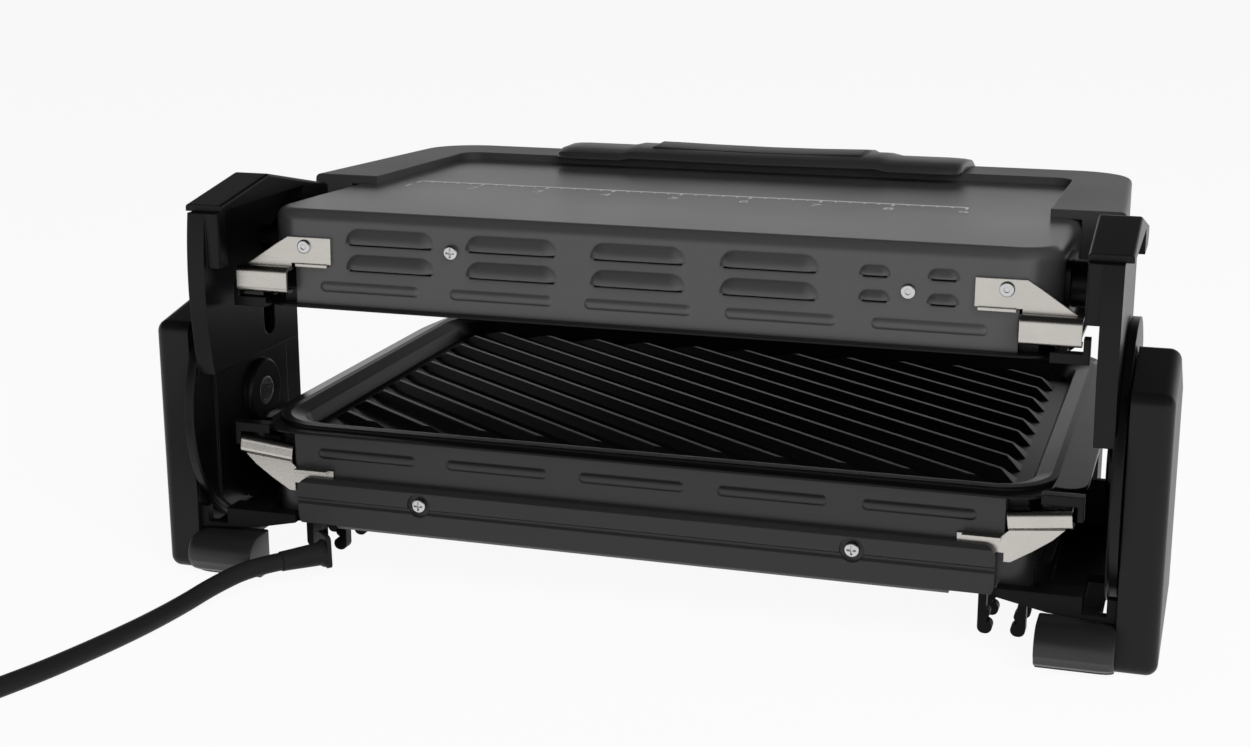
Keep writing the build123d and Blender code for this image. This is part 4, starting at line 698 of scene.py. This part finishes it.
def add_number(text, x, y):
    """A plain number that reads upright from behind the grill."""
    drop_all()
    bpy.ops.object.text_add(location=(x / 1000, y / 1000, PRINT_HEIGHT), rotation=(0, 0, math.pi))
    label = bpy.context.object
    label.data.body = text
    label.data.size = NUMBER_HEIGHT / 1000
    label.data.align_x = "CENTER"
    label.data.resolution_u = NUMBER_CURVE_STEPS
    bpy.ops.object.convert(target="MESH")
    bpy.ops.object.transform_apply(location=True, rotation=True, scale=True)
    return bpy.context.object


# %% Print the scale
span = SCALE_LEFT_X - SCALE_RIGHT_X
tick_gap = span / (TICK_COUNT - 1)
tick_y = SCALE_Y + TICK_LENGTH / 2
small_y = SCALE_Y + SMALL_TICK_LENGTH / 2
number_y = SCALE_Y + TICK_LENGTH + NUMBER_HEIGHT + NUMBER_GAP
ink = [add_strip((SCALE_LEFT_X + SCALE_RIGHT_X) / 2, SCALE_Y, span, LINE_DEPTH)]
for index in range(TICK_COUNT):
    tick_x = SCALE_LEFT_X - index * tick_gap
    ink.append(add_strip(tick_x, tick_y, INK_WIDTH, TICK_LENGTH))
    ink.append(add_number(str(index + 1), tick_x, number_y))
    if index < TICK_COUNT - 1:
        for part in range(1, SMALL_PARTS):
            small_x = tick_x - part * tick_gap / SMALL_PARTS
            ink.append(add_strip(small_x, small_y, SMALL_INK_WIDTH, SMALL_TICK_LENGTH))
drop_all()
for piece in ink:
    piece.select_set(True)
scale_print = ink[0]
bpy.context.view_layer.objects.active = scale_print
bpy.ops.object.join()
scale_print.name = "scale_print"
print("strips and numbers:", len(ink))

# %% Lay the ink on the lid
wrap = scale_print.modifiers.new("wrap", "SHRINKWRAP")
wrap.target = nodes["lid_shell"]
wrap.wrap_method = "PROJECT"
wrap.use_project_z = True
wrap.use_negative_direction = True
wrap.use_positive_direction = False
wrap.offset = INK_LIFT
bpy.ops.object.modifier_apply(modifier="wrap")
ink_finish = Finish("pale ink", Roughness=0.5)
wear = ink_finish.noise(500, 4)
ink_finish.set(Base_Color=ink_finish.blend(wear, grey(0.6), grey(0.8)))
dress(ink_finish, "scale_print")
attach(scale_print, "lid")
print("ink faces:", len(scale_print.data.polygons))

# %% [markdown]
# ## Floor
# The grill stands on a white table, as in a product photograph. The table glows white
# only to the camera and to reflections, so it doesn't flood the grill with light. A
# small part of it stays a plain surface, which keeps a soft shadow.


# %% What a ray sees
def seen_rays(tree):
    """One on camera, mirror and glass rays, and zero on the rays that carry light."""
    path = tree.nodes.new("ShaderNodeLightPath")
    seen = path.outputs["Is Camera Ray"]
    for name in ("Is Glossy Ray", "Is Transmission Ray"):
        either = tree.nodes.new("ShaderNodeMath")
        either.operation = "MAXIMUM"
        tree.links.new(seen, either.inputs[0])
        tree.links.new(path.outputs[name], either.inputs[1])
        seen = either.outputs[0]
    return seen


def mix_shaders(tree, factor, first, second, target):
    """Sends the first shader to the target where the factor is zero, else the second."""
    mix = tree.nodes.new("ShaderNodeMixShader")
    for socket, source in zip(mix.inputs, (factor, first, second)):
        tree.links.new(source, socket)
    tree.links.new(mix.outputs[0], tree.nodes[target].inputs[0])


# %% Floor
FLOOR_GLOW = 0.93
FLOOR_SIZE = 16
floor_finish = Finish("floor", Roughness=0.9, Base_Color=grey(0.85))
plain = floor_finish.shader.outputs[0]
glow = floor_finish.node("ShaderNodeEmission", {}, {"Strength": 1.0})
share = Wire(floor_finish, seen_rays(floor_finish.tree)) * FLOOR_GLOW
mix_shaders(floor_finish.tree, share.socket, plain, glow.socket, "Material Output")
drop_all()
bpy.ops.mesh.primitive_plane_add(size=FLOOR_SIZE, location=(0, 0, 0))
floor = bpy.context.object
floor.name = "floor"
floor.data.materials.append(floor_finish.data)
print("floor:", FLOOR_SIZE, "m, glow", FLOOR_GLOW)

# %% [markdown]
# ## World and lamps
# The light from the world is weak. To the camera and to reflections, though, the world
# is white at the horizon and dark overhead. The satin paint mirrors that, so the lid's
# top is lighter where it mirrors the horizon, as in the picture. Two large soft lamps
# give most of the light. They are hidden from reflections, where they would leave
# bright spots on the rounded ends of the louvres.

# %% World
WORLD_LIGHT = 0.05
HORIZON_GLOW = 1.0
CEILING_GLOW = 0.02
CEILING_STARTS = 0.0
CEILING_DARK = 0.5
world = bpy.data.worlds.new("studio")
bpy.context.scene.world = world
world.use_nodes = True
tree = world.node_tree
ambient = tree.nodes["Background"]
backdrop = tree.nodes.new("ShaderNodeBackground")
for background in (ambient, backdrop):
    background.inputs["Color"].default_value = (1, 1, 1, 1)
ambient.inputs["Strength"].default_value = WORLD_LIGHT
direction = tree.nodes.new("ShaderNodeTexCoord")
split = tree.nodes.new("ShaderNodeSeparateXYZ")
tree.links.new(direction.outputs["Generated"], split.inputs[0])
ceiling = tree.nodes.new("ShaderNodeMapRange")
ceiling.interpolation_type = "SMOOTHSTEP"
heights_and_glows = (CEILING_STARTS, CEILING_DARK, HORIZON_GLOW, CEILING_GLOW)
for socket, value in zip(ceiling.inputs[1:5], heights_and_glows):
    socket.default_value = value
tree.links.new(split.outputs["Z"], ceiling.inputs[0])
tree.links.new(ceiling.outputs[0], backdrop.inputs["Strength"])
mix_shaders(tree, seen_rays(tree), ambient.outputs[0], backdrop.outputs[0], "World Output")
print("world nodes:", len(tree.nodes))


# %% Lamps
def add_lamp(name, place, aim, size, power):
    """A square lamp that lights the grill but isn't mirrored in it."""
    lamp = bpy.data.objects.new(name, bpy.data.lights.new(name, "AREA"))
    lamp.data.size = size
    lamp.data.energy = power
    lamp.visible_glossy = False
    lamp.location = place
    lamp.rotation_mode = "QUATERNION"
    lamp.rotation_quaternion = (Vector(aim) - Vector(place)).to_track_quat("-Z", "Y")
    bpy.context.collection.objects.link(lamp)


add_lamp("key lamp", place=(-1.0, 1.3, 1.1), aim=(0, 0, 0.08), size=1.7, power=40)
add_lamp("top lamp", place=(-0.2, -0.2, 1.9), aim=(0, 0, 0), size=1.2, power=5)
print("lamps:", len(bpy.data.lights))
